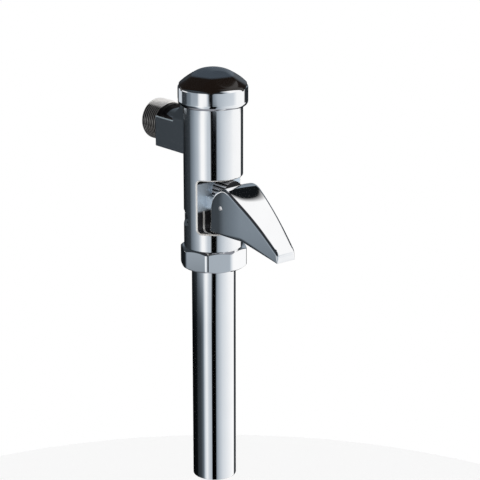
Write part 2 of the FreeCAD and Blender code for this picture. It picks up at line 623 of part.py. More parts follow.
# Union nut, gasket, slip ring and flush pipe
nut_prism = bind(add("Part::Prism", "nut_prism"), Circumradius="nut_flats / 2 / cos(22.5 deg)",
                 Height="body_bottom - nut_bottom")
nut_prism.Polygon = 8
put(nut_prism, z="nut_bottom")
bind(nut_prism, Placement__Rotation__Angle="nut_turn")
nut_corner = "nut_flats / 2 / cos(22.5 deg)"
nut_rounding = join(
    "nut_rounding",
    rod("nut_round_middle", nut_corner, "nut_bottom + nut_edge", "body_bottom - nut_edge"),
    cone("nut_round_low", "nut_flats / 2 - nut_edge_inset", nut_corner, "nut_bottom",
         "nut_bottom + nut_edge"),
    cone("nut_round_high", nut_corner, "nut_flats / 2 - nut_edge_inset", "body_bottom - nut_edge",
         "body_bottom"),
)
keep(cut("union_nut_solid", common("nut_blank", nut_prism, nut_rounding),
         rod("nut_bore", "spigot_radius + fit_gap", "nut_bottom + nut_floor", "body_bottom + 1"),
         rod("nut_eye", "pipe_radius + seat_gap", "nut_bottom - 1", "body_bottom")), "union_nut")
keep(cut("pipe_gasket_solid",
         rod("gasket_blank", "spigot_radius - seat_gap", "spigot_bottom - gasket_thickness", "spigot_bottom"),
         rod("gasket_hole", "pipe_neck + press_gap", "spigot_bottom - gasket_thickness - 1",
             "spigot_bottom + 1")),
     "pipe_gasket")
keep(cut("slip_ring_solid",
         rod("slip_blank", "spigot_radius - seat_gap", "nut_bottom + nut_floor",
             "spigot_bottom - gasket_thickness"),
         rod("slip_hole", "pipe_neck + fit_gap", "nut_bottom", "spigot_bottom")), "slip_ring")
PIPE_TOP = "passage_bottom - cage_thickness - end_gap"
keep(cut("flush_pipe_solid",
         join("pipe_blank", rod("pipe_tube", "pipe_radius", "pipe_bottom", "nut_bottom - neck_start"),
              rod("pipe_neck_tube", "pipe_neck", "pipe_bottom", PIPE_TOP)),
         rod("pipe_bore", "pipe_radius - pipe_wall", "pipe_bottom - 1", f"{PIPE_TOP} + 1")), "flush_pipe")

# Air break: rubber sleeve and its cage
keep(cut("sleeve_solid",
         rod("sleeve_blank", "passage_radius - fit_gap", "passage_bottom", "sleeve_top", y="passage_offset"),
         rod("sleeve_hole", "passage_radius - fit_gap - sleeve_wall", "passage_bottom - 1", "sleeve_top + 1",
             y="passage_offset")), "air_break_sleeve")
keep(cut("cage_solid",
         rod("cage_disc", "pipe_neck - seat_gap", "passage_bottom - cage_thickness", "passage_bottom"),
         rod("cage_eye", "cage_hole", "passage_bottom - cage_thickness - 1", "passage_bottom + 1",
             y="cage_hole_offset")),
     "air_break_cage")


# Inlet strainer
def strainer_holes():
    """Rows of round holes through the strainer's wall."""
    start = depth(size("inlet_reach")) - size("inlet_bore_depth")
    pitch, reach = size("strainer_pitch"), size("inlet_bore") + 1
    columns = int(size("strainer_columns"))
    drills = []
    for row in range(int(size("strainer_rows"))):
        y = start - size("strainer_lead") - row * pitch
        for turn in range(columns):
            angle = math.pi * turn / columns
            way = Vector(math.cos(angle), 0, math.sin(angle))
            drills.append(Part.makeCylinder(size("strainer_hole"), 2 * reach, Vector(0, y, 0) - way * reach,
                                            way))
    return Part.makeCompound(drills)


keep(cut("strainer_solid",
         join("strainer_blank",
              rod("strainer_tube", "duct_radius - strainer_play", f"{STRAINER_FRONT} - strainer_length",
                  STRAINER_FRONT, axis="Y"),
              rod("strainer_flange_disc", "strainer_flange", f"{STRAINER_FRONT} - strainer_flange_thickness",
                  STRAINER_FRONT, axis="Y")),
         rod("strainer_bore", "duct_radius - strainer_play - strainer_wall",
             f"{STRAINER_FRONT} - strainer_length + strainer_wall", f"{STRAINER_FRONT} + 2", axis="Y"),
         fixed("strainer_drills", strainer_holes())), "inlet_strainer")

# Recompute, check and write
document.recompute()
for item in document.Objects:
    if "Invalid" in item.State or "Error" in item.State:
        raise RuntimeError(f"{item.Name} did not recompute: {item.State}")
for item in PIECES:
    if item.Shape.isNull() or not item.Shape.isValid() or not item.Shape.Solids:
        raise RuntimeError(f"{item.Label} is not a valid solid")

os.makedirs("parts", exist_ok=True)
for item in PIECES:
    item.Shape.exportStep(f"parts/{item.Label}.step")
    print(f"{item.Label:18s} solids {len(item.Shape.Solids)}  volume {item.Shape.Volume:9.1f}")
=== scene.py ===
# %% [markdown]
# A chromed toilet flush valve with a press lever, dressed for a studio picture.
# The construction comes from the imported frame. This script gives every visible piece its
# finish, and remakes the pieces whose chrome needs smooth surfaces and rounded edges.

# %% Load the frame
import json
import math
import bmesh
import bpy
import numpy as np
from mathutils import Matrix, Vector

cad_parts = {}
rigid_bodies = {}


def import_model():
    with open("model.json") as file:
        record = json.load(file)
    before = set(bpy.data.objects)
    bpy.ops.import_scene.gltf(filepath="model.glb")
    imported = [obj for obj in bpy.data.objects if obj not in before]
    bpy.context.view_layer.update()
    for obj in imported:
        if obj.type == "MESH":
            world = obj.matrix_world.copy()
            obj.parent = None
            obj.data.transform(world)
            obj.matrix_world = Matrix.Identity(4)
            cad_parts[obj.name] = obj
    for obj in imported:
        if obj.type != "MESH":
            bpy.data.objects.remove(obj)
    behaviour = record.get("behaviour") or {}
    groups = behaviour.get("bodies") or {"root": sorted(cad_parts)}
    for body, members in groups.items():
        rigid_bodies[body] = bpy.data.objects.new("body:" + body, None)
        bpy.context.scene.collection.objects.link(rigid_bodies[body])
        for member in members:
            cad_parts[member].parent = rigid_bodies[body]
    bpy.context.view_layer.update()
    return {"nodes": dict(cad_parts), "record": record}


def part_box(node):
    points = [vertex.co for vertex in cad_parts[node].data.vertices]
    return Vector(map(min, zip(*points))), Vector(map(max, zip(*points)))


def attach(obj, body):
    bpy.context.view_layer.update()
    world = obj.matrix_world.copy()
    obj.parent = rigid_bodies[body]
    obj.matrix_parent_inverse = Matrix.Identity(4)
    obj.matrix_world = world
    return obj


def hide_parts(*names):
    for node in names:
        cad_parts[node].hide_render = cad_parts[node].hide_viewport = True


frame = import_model()
MM = 0.001
AXIS_Y = (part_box("flush_pipe")[0].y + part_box("flush_pipe")[1].y) / 2 / MM
print("the upright axis stands at y =", round(AXIS_Y, 2), "mm")

# %% [markdown]
# The camera looks from the lever's left side and from a little above. A long lens keeps the
# upright pipe almost parallel, as in the photograph. The lens is aimed a little to the side and
# above the valve instead of shifted, so the valve lies left of the middle.

# %% Camera
CAMERA_TURN = math.radians(38.9)
CAMERA_RISE = math.radians(18.0)
CAMERA_DISTANCE = 1.1
CAMERA_CLIP = (0.05, 20.0)
SENSOR_WIDTH = 36.0
PIXELS_PER_METRE = 1571.0
FRAME_PIXELS = 480
LOOK_PIXEL = (213.6, 263.6)
LOOK_POINT = Vector((0, AXIS_Y * MM, -0.085))


def add_camera():
    """A camera whose look point falls on LOOK_PIXEL: it is aimed past that point by the pixels'
    offset from the middle, divided by the pixels in a metre."""
    forward = Vector((math.sin(CAMERA_TURN) * math.cos(CAMERA_RISE),
                      math.cos(CAMERA_TURN) * math.cos(CAMERA_RISE), -math.sin(CAMERA_RISE)))
    right = Vector((math.cos(CAMERA_TURN), -math.sin(CAMERA_TURN), 0))
    up = right.cross(forward)
    data = bpy.data.cameras.new("camera")
    data.sensor_width = SENSOR_WIDTH
    data.lens = PIXELS_PER_METRE * CAMERA_DISTANCE / FRAME_PIXELS * SENSOR_WIDTH
    data.clip_start, data.clip_end = CAMERA_CLIP
    camera = bpy.data.objects.new("camera", data)
    bpy.context.scene.collection.objects.link(camera)
    camera.location = LOOK_POINT - forward * CAMERA_DISTANCE
    aside = (FRAME_PIXELS / 2 - LOOK_PIXEL[0]) / PIXELS_PER_METRE
    above = (LOOK_PIXEL[1] - FRAME_PIXELS / 2) / PIXELS_PER_METRE
    aim = LOOK_POINT + right * aside + up * above - camera.location
    camera.rotation_mode = "QUATERNION"
    camera.rotation_quaternion = aim.to_track_quat("-Z", "Y")
    bpy.context.scene.camera = camera
    return camera


camera = add_camera()
print("lens:", round(camera.data.lens, 1), "mm")

# %% [markdown]
# Chrome has almost no colour of its own: it shows the room. The room here is a studio painted on
# the sky by direction alone, as six belts stacked in height. The turn angle in a belt is measured
# from the way to the camera, positive to its right.
#
# An upright wall mirrors the room under the same angle under which the camera sees the wall. The
# pipe mirrors the low belt, the barrel the wall belt, and the cap ring, which the camera sees the
# most level, the thin ring belt and edge belt. They hold a black card straight in front, a white
# wall on the right, a narrow white window on the left and darkness behind. Plates and rounded
# edges mirror the rim belt and the high belt, which are white on the right, dark on the left and
# in front, and grey-blue behind. The high belt also turns a little with height, which gives the
# dark band on the lever's plate its rounded lower edge.
#
# The ceiling is dark and the table is grey. The camera sees plain white, and matt surfaces are
# lit by plain white of strength 1, so their colours stay as written.

# %% Studio belts
LOW_BELT = [(-180, .02), (-156, .002), (-106, .004), (-96, .03), (-76, .05), (-63, .13), (-57, .3),
            (-51, .68), (-40, .93), (-29, .68), (-18, .54), (-14, .5), (-12, .0), (9, .0), (12, .30),
            (24, .5), (45, .72), (69, .84), (97, .96), (114, 1.0), (127, 1.0), (131, .03), (180, .02)]
WALL_BELT = [(-180, .01), (-149, .01), (-117, .035), (-106, .045), (-101, .06), (-97, .15), (-89, .22),
             (-79, .32), (-61, .52), (-53, .76), (-46, 1.0), (-36, 1.0), (-29, .82), (-21, .61),
             (-11, .60), (-8, .0), (11, .0), (16, .38), (32, .60), (48, .74), (65, .85), (83, .97),
             (110, 1.0), (130, 1.0), (135, .03), (180, .02)]
RING_BELT = [(-180, .05), (-150, .01), (-145, .62), (-124, .66), (-119, .04), (-97, .05), (-92, .17),
             (-80, .22), (-74, .36), (-52, .40), (-46, .88), (-40, .98), (-22, .96), (-16, .5),
             (-12, .006), (-3, .006), (1, .26), (14, .46), (40, .58), (69, .69), (85, .97),
             (120, 1.0), (128, .02), (180, .03)]
EDGE_BELT = [(-180, .05), (-146, .02), (-140, .85), (-94, .95), (-88, .35), (-52, .40), (-45, .88),
             (-38, .96), (-24, .96), (-18, .47), (-13, .006), (-3, .006), (1, .26), (14, .46),
             (40, .58), (69, .69), (85, .97), (120, 1.0), (128, .02), (180, .03)]
RIM_BELT = [(-180, .22), (-173, .10), (-140, .04), (-90, .04), (-40, .05), (-20, .02), (30, .02),
            (44, .5), (60, 1.0), (108, 1.0), (114, .04), (140, .04), (152, .36), (166, .30),
            (172, .26), (180, .22)]
HIGH_BELT = [(-180, .08), (-150, .06), (-140, .04), (-90, .05), (-40, .05), (-20, .02), (30, .02),
             (44, .5), (60, 1.0), (132.6, 1.0), (134.4, .008), (170, .008), (176, .05), (180, .08)]
BELTS = {"low": (LOW_BELT, (-62, -40)), "wall": (WALL_BELT, (-20.5, -16.5)),
         "ring": (RING_BELT, (-12.95, -12.75)), "edge": (EDGE_BELT, (-12.1, -11.4)),
         "rim": (RIM_BELT, (-3, 4)), "high": (HIGH_BELT, (39, 43))}
BELT_TINT = (0.80, 0.965, 1.13)
TINT_GAIN = 1.25
HIGH_LEAN = {"start": 0.68, "still": 0.768, "rate": 0.108}
TABLE_SHADE = (0.26, 0.27, 0.30, 1.0)
CEILING_SHADE = (0.03, 0.03, 0.035, 1.0)
CEILING_STEP = (60, 68)
PLAIN_WHITE = (1.0, 1.0, 1.0, 1.0)
print("stops of the belts:", {name: len(stops) for name, (stops, step) in BELTS.items()})

# %% [markdown]
# Node trees are built from a few small helpers, so that each finish below reads as its formula.
# They make a node, do a sum on sockets or numbers, blend two colours, and split a place on the
# object into x, y and z.

# %% Node helpers
def node(tree, kind, **settings):
    """A new node with its settings."""
    made = tree.nodes.new(kind)
    for name, value in settings.items():
        setattr(made, name, value)
    return made


def maths(tree, operation, first, second=None):
    """A maths node between sockets or numbers."""
    made = node(tree, "ShaderNodeMath", operation=operation)
    for index, value in enumerate((first, second)):
        if value is None:
            continue
        if isinstance(value, (int, float)):
            made.inputs[index].default_value = value
        else:
            tree.links.new(value, made.inputs[index])
    return made.outputs[0]


def blend_colours(tree, factor, first, second):
    """The first colour where the factor is 0, the second where it is 1, and a mix between."""
    made = node(tree, "ShaderNodeMix", data_type="RGBA")
    tree.links.new(factor, made.inputs[0])
    for index, value in ((6, first), (7, second)):
        if isinstance(value, tuple):
            made.inputs[index].default_value = value
        else:
            tree.links.new(value, made.inputs[index])
    return made.outputs[2]


def smooth_rise(tree, value, low, high):
    """0 up to low, 1 from high on, and an S-shaped rise between them."""
    made = node(tree, "ShaderNodeMapRange", interpolation_type="SMOOTHSTEP")
    tree.links.new(value, made.inputs["Value"])
    made.inputs["From Min"].default_value = low
    made.inputs["From Max"].default_value = high
    return made.outputs[0]


def texture_axes(tree, output="Object"):
    """The x, y and z sockets of the place on the object in metres, or of its normal."""
    place = node(tree, "ShaderNodeTexCoord")
    split = node(tree, "ShaderNodeSeparateXYZ")
    tree.links.new(place.outputs[output], split.inputs[0])
    return split.outputs


print("node helpers ready")

# %% [markdown]
# The room is one chain of blends from the table up to the ceiling. Each belt takes over from the
# one under it at its own height, and only rays from glossy surfaces see the chain.

# %% Studio
def belt(tree, stops):
    """A colour ramp over the whole turn, with stops in degrees; mid tones lean to blue."""
    made = node(tree, "ShaderNodeValToRGB")
    elements = made.color_ramp.elements
    while len(elements) < len(stops):
        elements.new(0.5)
    for element, (angle, value) in zip(elements, stops):
        element.position = (angle + 180) / 360
        lean = min(1.0, TINT_GAIN * max(0.0, 1 - value))
        shade = [value * (1 + (tint - 1) * lean) for tint in BELT_TINT]
        element.color = (*shade, 1.0)
    return made


def step_between(tree, value, low, high):
    """A soft step from 0 to 1 between two heights in degrees, compared by their sines."""
    return smooth_rise(tree, value, math.sin(math.radians(low)), math.sin(math.radians(high)))


def build_studio():
    """The world: white to the camera, plain light for matt surfaces, the painted room for gloss.

    The turn angle is the arc tangent of x over minus y, as a share of the whole turn. The high
    belt's share is moved by rate times the height above the still height."""
    world = bpy.data.worlds.new("studio")
    bpy.context.scene.world = world
    world.use_nodes = True
    tree = world.node_tree
    tree.nodes.clear()
    place = node(tree, "ShaderNodeTexCoord")
    rotated = node(tree, "ShaderNodeVectorRotate", rotation_type="Z_AXIS")
    rotated.inputs["Angle"].default_value = CAMERA_TURN
    tree.links.new(place.outputs["Generated"], rotated.inputs["Vector"])
    split = node(tree, "ShaderNodeSeparateXYZ")
    tree.links.new(rotated.outputs[0], split.inputs[0])
    x, y, z = split.outputs
    turn = maths(tree, "ARCTAN2", x, maths(tree, "MULTIPLY", y, -1.0))
    turn = maths(tree, "ADD", maths(tree, "DIVIDE", turn, 2 * math.pi), 0.5)
    above = maths(tree, "SUBTRACT", maths(tree, "MAXIMUM", z, HIGH_LEAN["start"]), HIGH_LEAN["still"])
    leaning = maths(tree, "ADD", turn, maths(tree, "MULTIPLY", above, HIGH_LEAN["rate"]))
    room = TABLE_SHADE
    for name, (stops, (start, end)) in BELTS.items():
        made = belt(tree, stops)
        tree.links.new(leaning if name == "high" else turn, made.inputs[0])
        room = blend_colours(tree, step_between(tree, z, start, end), room, made.outputs[0])
    room = blend_colours(tree, step_between(tree, z, *CEILING_STEP), room, CEILING_SHADE)
    path = node(tree, "ShaderNodeLightPath")
    shown = blend_colours(tree, path.outputs["Is Glossy Ray"], PLAIN_WHITE, room)
    background = node(tree, "ShaderNodeBackground")
    tree.links.new(shown, background.inputs["Color"])
    out = node(tree, "ShaderNodeOutputWorld")
    tree.links.new(background.outputs[0], out.inputs["Surface"])
    return tree


scene = bpy.context.scene
print("nodes of the studio:", len(build_studio().nodes))
scene.view_settings.view_transform = "Standard"

# %% [markdown]
# Every new surface is a grid of points: rows and columns of one array, whose columns close into
# a ring because each surface goes all the way round. One helper turns such an array into a mesh,
# and another welds it, turns its faces outwards and hangs it on the body that carries it.

# %% Surface helpers
WELD = 2e-6
NO_LENGTH = 1e-7


def grid_faces(rows, columns):
    """Quads between neighbouring rows and columns: row times columns plus column for all corners,
    with the last column followed by the first."""
    row, column = np.meshgrid(np.arange(rows - 1), np.arange(columns), indexing="ij")
    following = (column + 1) % columns
    corners = [row * columns + column, row * columns + following,
               (row + 1) * columns + following, (row + 1) * columns + column]
    return np.stack(corners, axis=-1).reshape(-1, 4)


def round_axis(radius, angle, height):
    """Points about the upright axis: x is radius times cosine, y the axis plus radius times sine."""
    x, y = radius * np.cos(angle), AXIS_Y + radius * np.sin(angle)
    return np.stack([x, y, height + 0 * angle], axis=-1)


def quarter(centre, radii, start, end, count):
    """Points on an ellipse's arc between two angles in degrees: centre plus radii times cosine
    and sine."""
    angle = np.radians(np.linspace(start, end, count))
    return list(zip(centre[0] + radii[0] * np.cos(angle), centre[1] + radii[1] * np.sin(angle)))


def weld(work):
    """Merges doubled corners and drops edges without length."""
    bmesh.ops.remove_doubles(work, verts=work.verts, dist=WELD)
    bmesh.ops.dissolve_degenerate(work, edges=work.edges, dist=NO_LENGTH)


def finish_piece(name, mesh, finish, body, stands_for, sharp_degrees):
    """Welds a mesh, turns its faces outwards, shades it smoothly up to an angle between faces,
    and hangs the piece on its body."""
    work = bmesh.new()
    work.from_mesh(mesh)
    weld(work)
    bmesh.ops.recalc_face_normals(work, faces=work.faces)
    for edge in work.edges:
        if len(edge.link_faces) == 2:
            edge.smooth = edge.calc_face_angle() < math.radians(sharp_degrees)
    work.to_mesh(mesh)
    work.free()
    mesh.polygons.foreach_set("use_smooth", np.ones(len(mesh.polygons), bool))
    mesh.materials.append(finish)
    piece = bpy.data.objects.new(name, mesh)
    bpy.context.scene.collection.objects.link(piece)
    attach(piece, body)
    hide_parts(*stands_for)
    return piece


def surface(name, points, finish, body, stands_for, sharp_degrees=30.0):
    """One piece from a grid of points in millimetres."""
    rows, columns = points.shape[:2]
    mesh = bpy.data.meshes.new(name)
    mesh.from_pydata((points.reshape(-1, 3) * MM).tolist(), [], grid_faces(rows, columns).tolist())
    return finish_piece(name, mesh, finish, body, stands_for, sharp_degrees)


print("surface helpers ready")

# %% [markdown]
# Finishes. Each is a node material on Object coordinates. Plated chrome has a very slight
# waviness from polishing the casting under it. The cap is glossy black plastic. The inner
# pieces are turned brass, bright steel, rubber and moulded plastic. Plating that no polishing
# wheel reaches is duller: in the lever window's recess, on the thread and on the knurled nut.
# The recess's pale blue-grey colour, with a large matt share lit by the plain white, is a painted
# reflection. The window's rim and the arm's upper edges are rounded and polished, and their thin
# lines are painted highlights: colours with a large matt share, which the plain white lights.

# %% Materials
RELIEF_DEPTH = 0.0002
NOISE_DETAIL = 3.0
DARKER = 0.94


def material(name, colour, metallic, roughness, spread, grain, bump, second=None):
    """A finish with noise in its roughness, colour and surface: roughness is a middle plus or
    minus a spread, colour runs to a second or a darker one, and grain is the noise's scale."""
    made = bpy.data.materials.new(name)
    made.use_nodes = True
    tree = made.node_tree
    shader = tree.nodes["Principled BSDF"]
    shader.inputs["Metallic"].default_value = metallic
    place = node(tree, "ShaderNodeTexCoord")
    noise = node(tree, "ShaderNodeTexNoise")
    noise.inputs["Scale"].default_value = grain
    noise.inputs["Detail"].default_value = NOISE_DETAIL
    tree.links.new(place.outputs["Object"], noise.inputs["Vector"])
    rough = node(tree, "ShaderNodeMapRange")
    rough.inputs["To Min"].default_value = roughness - spread
    rough.inputs["To Max"].default_value = roughness + spread
    tree.links.new(noise.outputs["Fac"], rough.inputs["Value"])
    tree.links.new(rough.outputs[0], shader.inputs["Roughness"])
    other = second or tuple(value * DARKER for value in colour)
    tint = blend_colours(tree, noise.outputs["Fac"], (*colour, 1.0), (*other, 1.0))
    tree.links.new(tint, shader.inputs["Base Color"])
    relief = node(tree, "ShaderNodeBump")
    relief.inputs["Strength"].default_value = bump
    relief.inputs["Distance"].default_value = RELIEF_DEPTH
    tree.links.new(noise.outputs["Fac"], relief.inputs["Height"])
    tree.links.new(relief.outputs[0], shader.inputs["Normal"])
    return made


# Each line: name, colour, metallic, roughness, its spread, grain of the noise, height of the bumps.
CHROME = material("plated_chrome", (0.97, 0.975, 0.985), 1.0, 0.035, 0.012, 60.0, 0.012)
CAST_CHROME = material("plated_casting", (0.955, 0.96, 0.97), 1.0, 0.05, 0.015, 90.0, 0.02)
# painted reflection: the recess's pale blue-grey colour, nearly half matt, lit by the plain white
SATIN_CHROME_PAINTED_LIGHT = material("unpolished_plating_painted_light", (0.70, 0.80, 0.90), 0.55, 0.32, 0.04, 120.0, 0.02)
THREAD = material("plated_thread_painted_light", (0.8, 0.8, 0.8), 0.75, 0.30, 0.03, 120.0, 0.02)
# painted highlight: the window rim's pale cream colour, more than half matt, lit by the plain white
RIM = material("window_rim_painted_highlight", (1.0, 0.97, 0.93), 0.45, 0.2, 0.03, 200.0, 0.01)
# painted highlight: the arm's rounded upper edges get a slate colour, more than half matt, lit by the
# plain white
EASED = material("eased_edge_painted_highlight", (0.36, 0.42, 0.46), 0.45, 0.2, 0.03, 200.0, 0.01)
KNURLED = material("knurled_plating_painted_light", (0.85, 0.85, 0.88), 0.7, 0.25, 0.03, 200.0, 0.02)
# painted highlight: the pin's pale colour, mostly matt, lit by the plain white
PIN_STEEL_PAINTED_HIGHLIGHT = material("turned_pin_painted_highlight", (0.90, 0.90, 0.92), 0.3, 0.25, 0.03, 300.0, 0.02)
BLACK = material("black_gloss_plastic_painted_sheen", (0.010, 0.006, 0.004), 0.0, 0.14, 0.03, 400.0, 0.02)
STEEL = material("bright_steel", (0.62, 0.62, 0.63), 1.0, 0.22, 0.05, 700.0, 0.05)
BRASS = material("turned_brass", (0.80, 0.60, 0.28), 1.0, 0.28, 0.07, 500.0, 0.06)
RUBBER = material("black_rubber", (0.025, 0.025, 0.026), 0.0, 0.6, 0.08, 900.0, 0.1)
WHITE = material("white_moulded_plastic", (0.80, 0.80, 0.77), 0.0, 0.42, 0.06, 500.0, 0.04)
print("materials:", len(bpy.data.materials))

# %% [markdown]
# Some light and shade is painted into the colour at places on the valve, where it is too small
# for the studio to give. The cover has a painted paler sheen on top of its dome. The window's
# recess has painted shade at its floor and its roof, and one painted upright glint low down.
# Blends by height on Object coordinates paint this with one finish, so no face has to be cut in two.

# %% Painted light and shade by height
# painted sheen: a paler blue-grey colour on top of the cover's dome
COVER_PAINTED_SHEEN = {"colour": (0.050, 0.064, 0.082), "low": 37.2, "high": 38.4}
# painted shade: the window recess turns dark at its floor and at its roof
RECESS_FLOOR_PAINTED_SHADE = {"colour": (0.035, 0.035, 0.04), "low": -45.5, "high": -47.5}
RECESS_ROOF_PAINTED_SHADE = {"colour": (0.02, 0.02, 0.02), "low": -29.2, "high": -28.4}
# painted glint: a pale upright bar low in the window's recess
RECESS_PAINTED_GLINT = {"colour": (0.95, 0.94, 0.92), "middle": -12.1, "half": 0.75, "top": -46.6}


def paint(made, share, colour, under=None):
    """Blends a finish to a colour by a share from 0 to 1, from its own colour or the one given
    as under."""
    tree = made.node_tree
    socket = tree.nodes["Principled BSDF"].inputs["Base Color"]
    first = (*under, 1.0) if under else socket.links[0].from_socket
    tree.links.new(blend_colours(tree, share, first, (*colour, 1.0)), socket)


def shade_by_height(made, colour, low, high):
    """Blends a finish to another colour as the height goes from low to high, to paint sheen and shade.
    """
    height = texture_axes(made.node_tree)[2]
    paint(made, smooth_rise(made.node_tree, height, low * MM, high * MM), colour)


def painted_streak(made, colour, middle, half, top):
    """A painted upright bar of another colour: under a height, and nearer than half to its middle."""
    tree = made.node_tree
    x, _, z = texture_axes(tree)
    aside = maths(tree, "ABSOLUTE", maths(tree, "SUBTRACT", x, middle * MM))
    low = maths(tree, "LESS_THAN", z, top * MM)
    paint(made, maths(tree, "MULTIPLY", maths(tree, "LESS_THAN", aside, half * MM), low), colour)


shade_by_height(BLACK, **COVER_PAINTED_SHEEN)
shade_by_height(SATIN_CHROME_PAINTED_LIGHT, **RECESS_FLOOR_PAINTED_SHADE)
shade_by_height(SATIN_CHROME_PAINTED_LIGHT, **RECESS_ROOF_PAINTED_SHADE)
painted_streak(SATIN_CHROME_PAINTED_LIGHT, **RECESS_PAINTED_GLINT)
print("shaded by height:", BLACK.name, "and", SATIN_CHROME_PAINTED_LIGHT.name)

# %% [markdown]
# The thread's light and shade is painted into its colour: painted highlights on its crests,
# painted shade in its roots, and brighter painted crests on top, as if lit from above. The blend
# goes by the distance to the inlet's axis, and three zones of height set how bright the crests
# are. The gland nut's knurling is painted in the same way: painted highlights and painted shade
# in a wave of the turn angle about the pull rod's axis, with one plain painted highlight strip
# on top where the light falls, and painted shade on its face towards the back.

# %% Painted light on thread and knurling
# painted highlight on the crests and painted shade in the roots, brighter on top
THREAD_PAINTED_LIGHT = {"root": (0.012, 0.010, 0.010), "crest": (1.0, 0.97, 0.94), "radius": 13.08,
                "flank": 0.16, "top_low": 9.8, "top_high": 11.2, "top_drop": 0.7,
                "middle_light": 0.45, "top_light": 0.55, "under": -2.0, "under_light": 0.35}
# painted highlight on the ridges and the top strip, painted shade in the grooves and on the back face
KNURL_PAINTED_LIGHT = {"groove": (0.01, 0.01, 0.012), "ridge": (0.85, 0.86, 0.90), "height": -33.5, "teeth": 18.0,
         "swing": 0.5, "mean": 0.4, "strip_turn": 0.25, "strip_half": 0.22, "strip_light": 0.7,
         "back": -0.7}


def shade_thread(made, look):
    """Share of painted crest highlight over painted root shade: distance to the inlet's axis, less
    the crest's start, over the flank, kept from 0 to 1 and multiplied by the painted light of its
    zone of height."""
    tree = made.node_tree
    x, _, z = texture_axes(tree)
    square = maths(tree, "ADD", maths(tree, "MULTIPLY", x, x), maths(tree, "MULTIPLY", z, z))
    on_top = smooth_rise(tree, z, look["top_low"] * MM, look["top_high"] * MM)
    drop = maths(tree, "MULTIPLY", on_top, look["top_drop"] * MM)
    start = maths(tree, "SUBTRACT", look["radius"] * MM, drop)
    rise = maths(tree, "SUBTRACT", maths(tree, "SQRT", square), start)
    rise = maths(tree, "DIVIDE", rise, look["flank"] * MM)
    rise = maths(tree, "MINIMUM", maths(tree, "MAXIMUM", rise, 0.0), 1.0)
    light = maths(tree, "ADD", maths(tree, "MULTIPLY", on_top, look["top_light"]), look["middle_light"])
    below = maths(tree, "LESS_THAN", z, look["under"] * MM)
    light = maths(tree, "ADD", light, maths(tree, "MULTIPLY", below, look["under_light"]))
    paint(made, maths(tree, "MULTIPLY", rise, light), look["crest"], look["root"])


def shade_knurl(made, look):
    """Share of painted ridge highlight over painted groove shade: mean plus swing times the sine of
    teeth times the turn angle, or the plain strip's painted light where that is more, and only
    painted shade on the face towards the back."""
    tree = made.node_tree
    x, _, z = texture_axes(tree)
    turn = maths(tree, "ARCTAN2", x, maths(tree, "SUBTRACT", z, look["height"] * MM))
    wave = maths(tree, "SINE", maths(tree, "MULTIPLY", turn, look["teeth"]))
    wave = maths(tree, "ADD", maths(tree, "MULTIPLY", wave, look["swing"]), look["mean"])
    aside = maths(tree, "ABSOLUTE", maths(tree, "ADD", turn, look["strip_turn"]))
    on_strip = maths(tree, "LESS_THAN", aside, look["strip_half"])
    strip = maths(tree, "MULTIPLY", on_strip, look["strip_light"])
    seen = maths(tree, "GREATER_THAN", texture_axes(tree, "Normal")[1], look["back"])
    shade = maths(tree, "MULTIPLY", maths(tree, "MAXIMUM", wave, strip), seen)
    paint(made, shade, look["ridge"], look["groove"])


shade_thread(THREAD, THREAD_PAINTED_LIGHT)
shade_knurl(KNURLED, KNURL_PAINTED_LIGHT)
print("thread lit from", THREAD_PAINTED_LIGHT["radius"], "mm, knurled ridges:", int(KNURL_PAINTED_LIGHT["teeth"]))

# %% [markdown]
# Finishes for the pieces that keep their frame shape. The record names each node's slot, so
# the slot decides the finish. Only the gland nut differs: its knurled chrome carries painted
# highlights and painted shade.

# %% Dress the frame's own nodes
SLOT_FINISH = {"chrome": CHROME, "black_plastic": BLACK, "steel": STEEL, "brass": BRASS,
               "rubber": RUBBER, "white_plastic": WHITE}
for row in frame["record"]["subparts"]:
    mesh = frame["nodes"][row["node"]].data
    mesh.materials.clear()
    mesh.materials.append(SLOT_FINISH[row["material_slot"]])
frame["nodes"]["gland_nut"].data.materials[0] = KNURLED
print("dressed", len(frame["nodes"]), "nodes")

# %% [markdown]
# The flush pipe is a drawn tube. A profile of radius and height is turned round the upright
# axis: outside wall, a small round at each lip, and the bore. Turning a profile keeps the
# reflections straight from end to end.

# %% Flush pipe
PIPE = {"radius": 14.0, "bore": 13.0, "low": -229.0, "high": -86.4, "lip": 0.25, "wall_low": -228.0,
        "rows": 24, "steps": 192}


def flush_pipe():
    """Closed profile of a tube, turned once: quarter-round lips with two straight walls between."""
    lip, wall_low, high = PIPE["lip"], PIPE["wall_low"], PIPE["high"]
    outer = quarter((PIPE["radius"] - lip, PIPE["low"] + lip), (lip, lip), -90, 0, 5)
    inner = quarter((PIPE["bore"] + lip, PIPE["low"] + lip), (lip, lip), 180, 270, 5)
    profile = outer + [(PIPE["radius"], z) for z in np.linspace(wall_low, high, PIPE["rows"])]
    profile += [(PIPE["bore"], z) for z in np.linspace(high, wall_low, PIPE["rows"])] + inner
    profile = np.array(profile + profile[:1], float)
    angle = np.linspace(0, 2 * np.pi, PIPE["steps"], endpoint=False)
    points = round_axis(profile[:, :1], angle, profile[:, 1:])
    return surface("flush_pipe_skin", points, CHROME, "valve", ["flush_pipe"])


print("pipe faces:", len(flush_pipe().data.polygons))

# %% [markdown]
# The union nut has eight flats. Its corners are rounded widely and its edges are turned to a
# cone, so the radius at a turn angle is the smaller of two: the rounded octagon and the cone.

# %% Union nut
NUT = {"sides": 8, "apothem": 19.99, "corner": 4.0, "low": -85.3, "high": -71.9, "turn": 39.0,
       "face": 19.3, "bevel": 1.5, "bevel_deep": 2.6, "round_off": 0.35, "eye": 14.1,
       "eye_deep": 2.0, "top_eye": 18.75, "top_eye_deep": 3.0, "steps": 512}


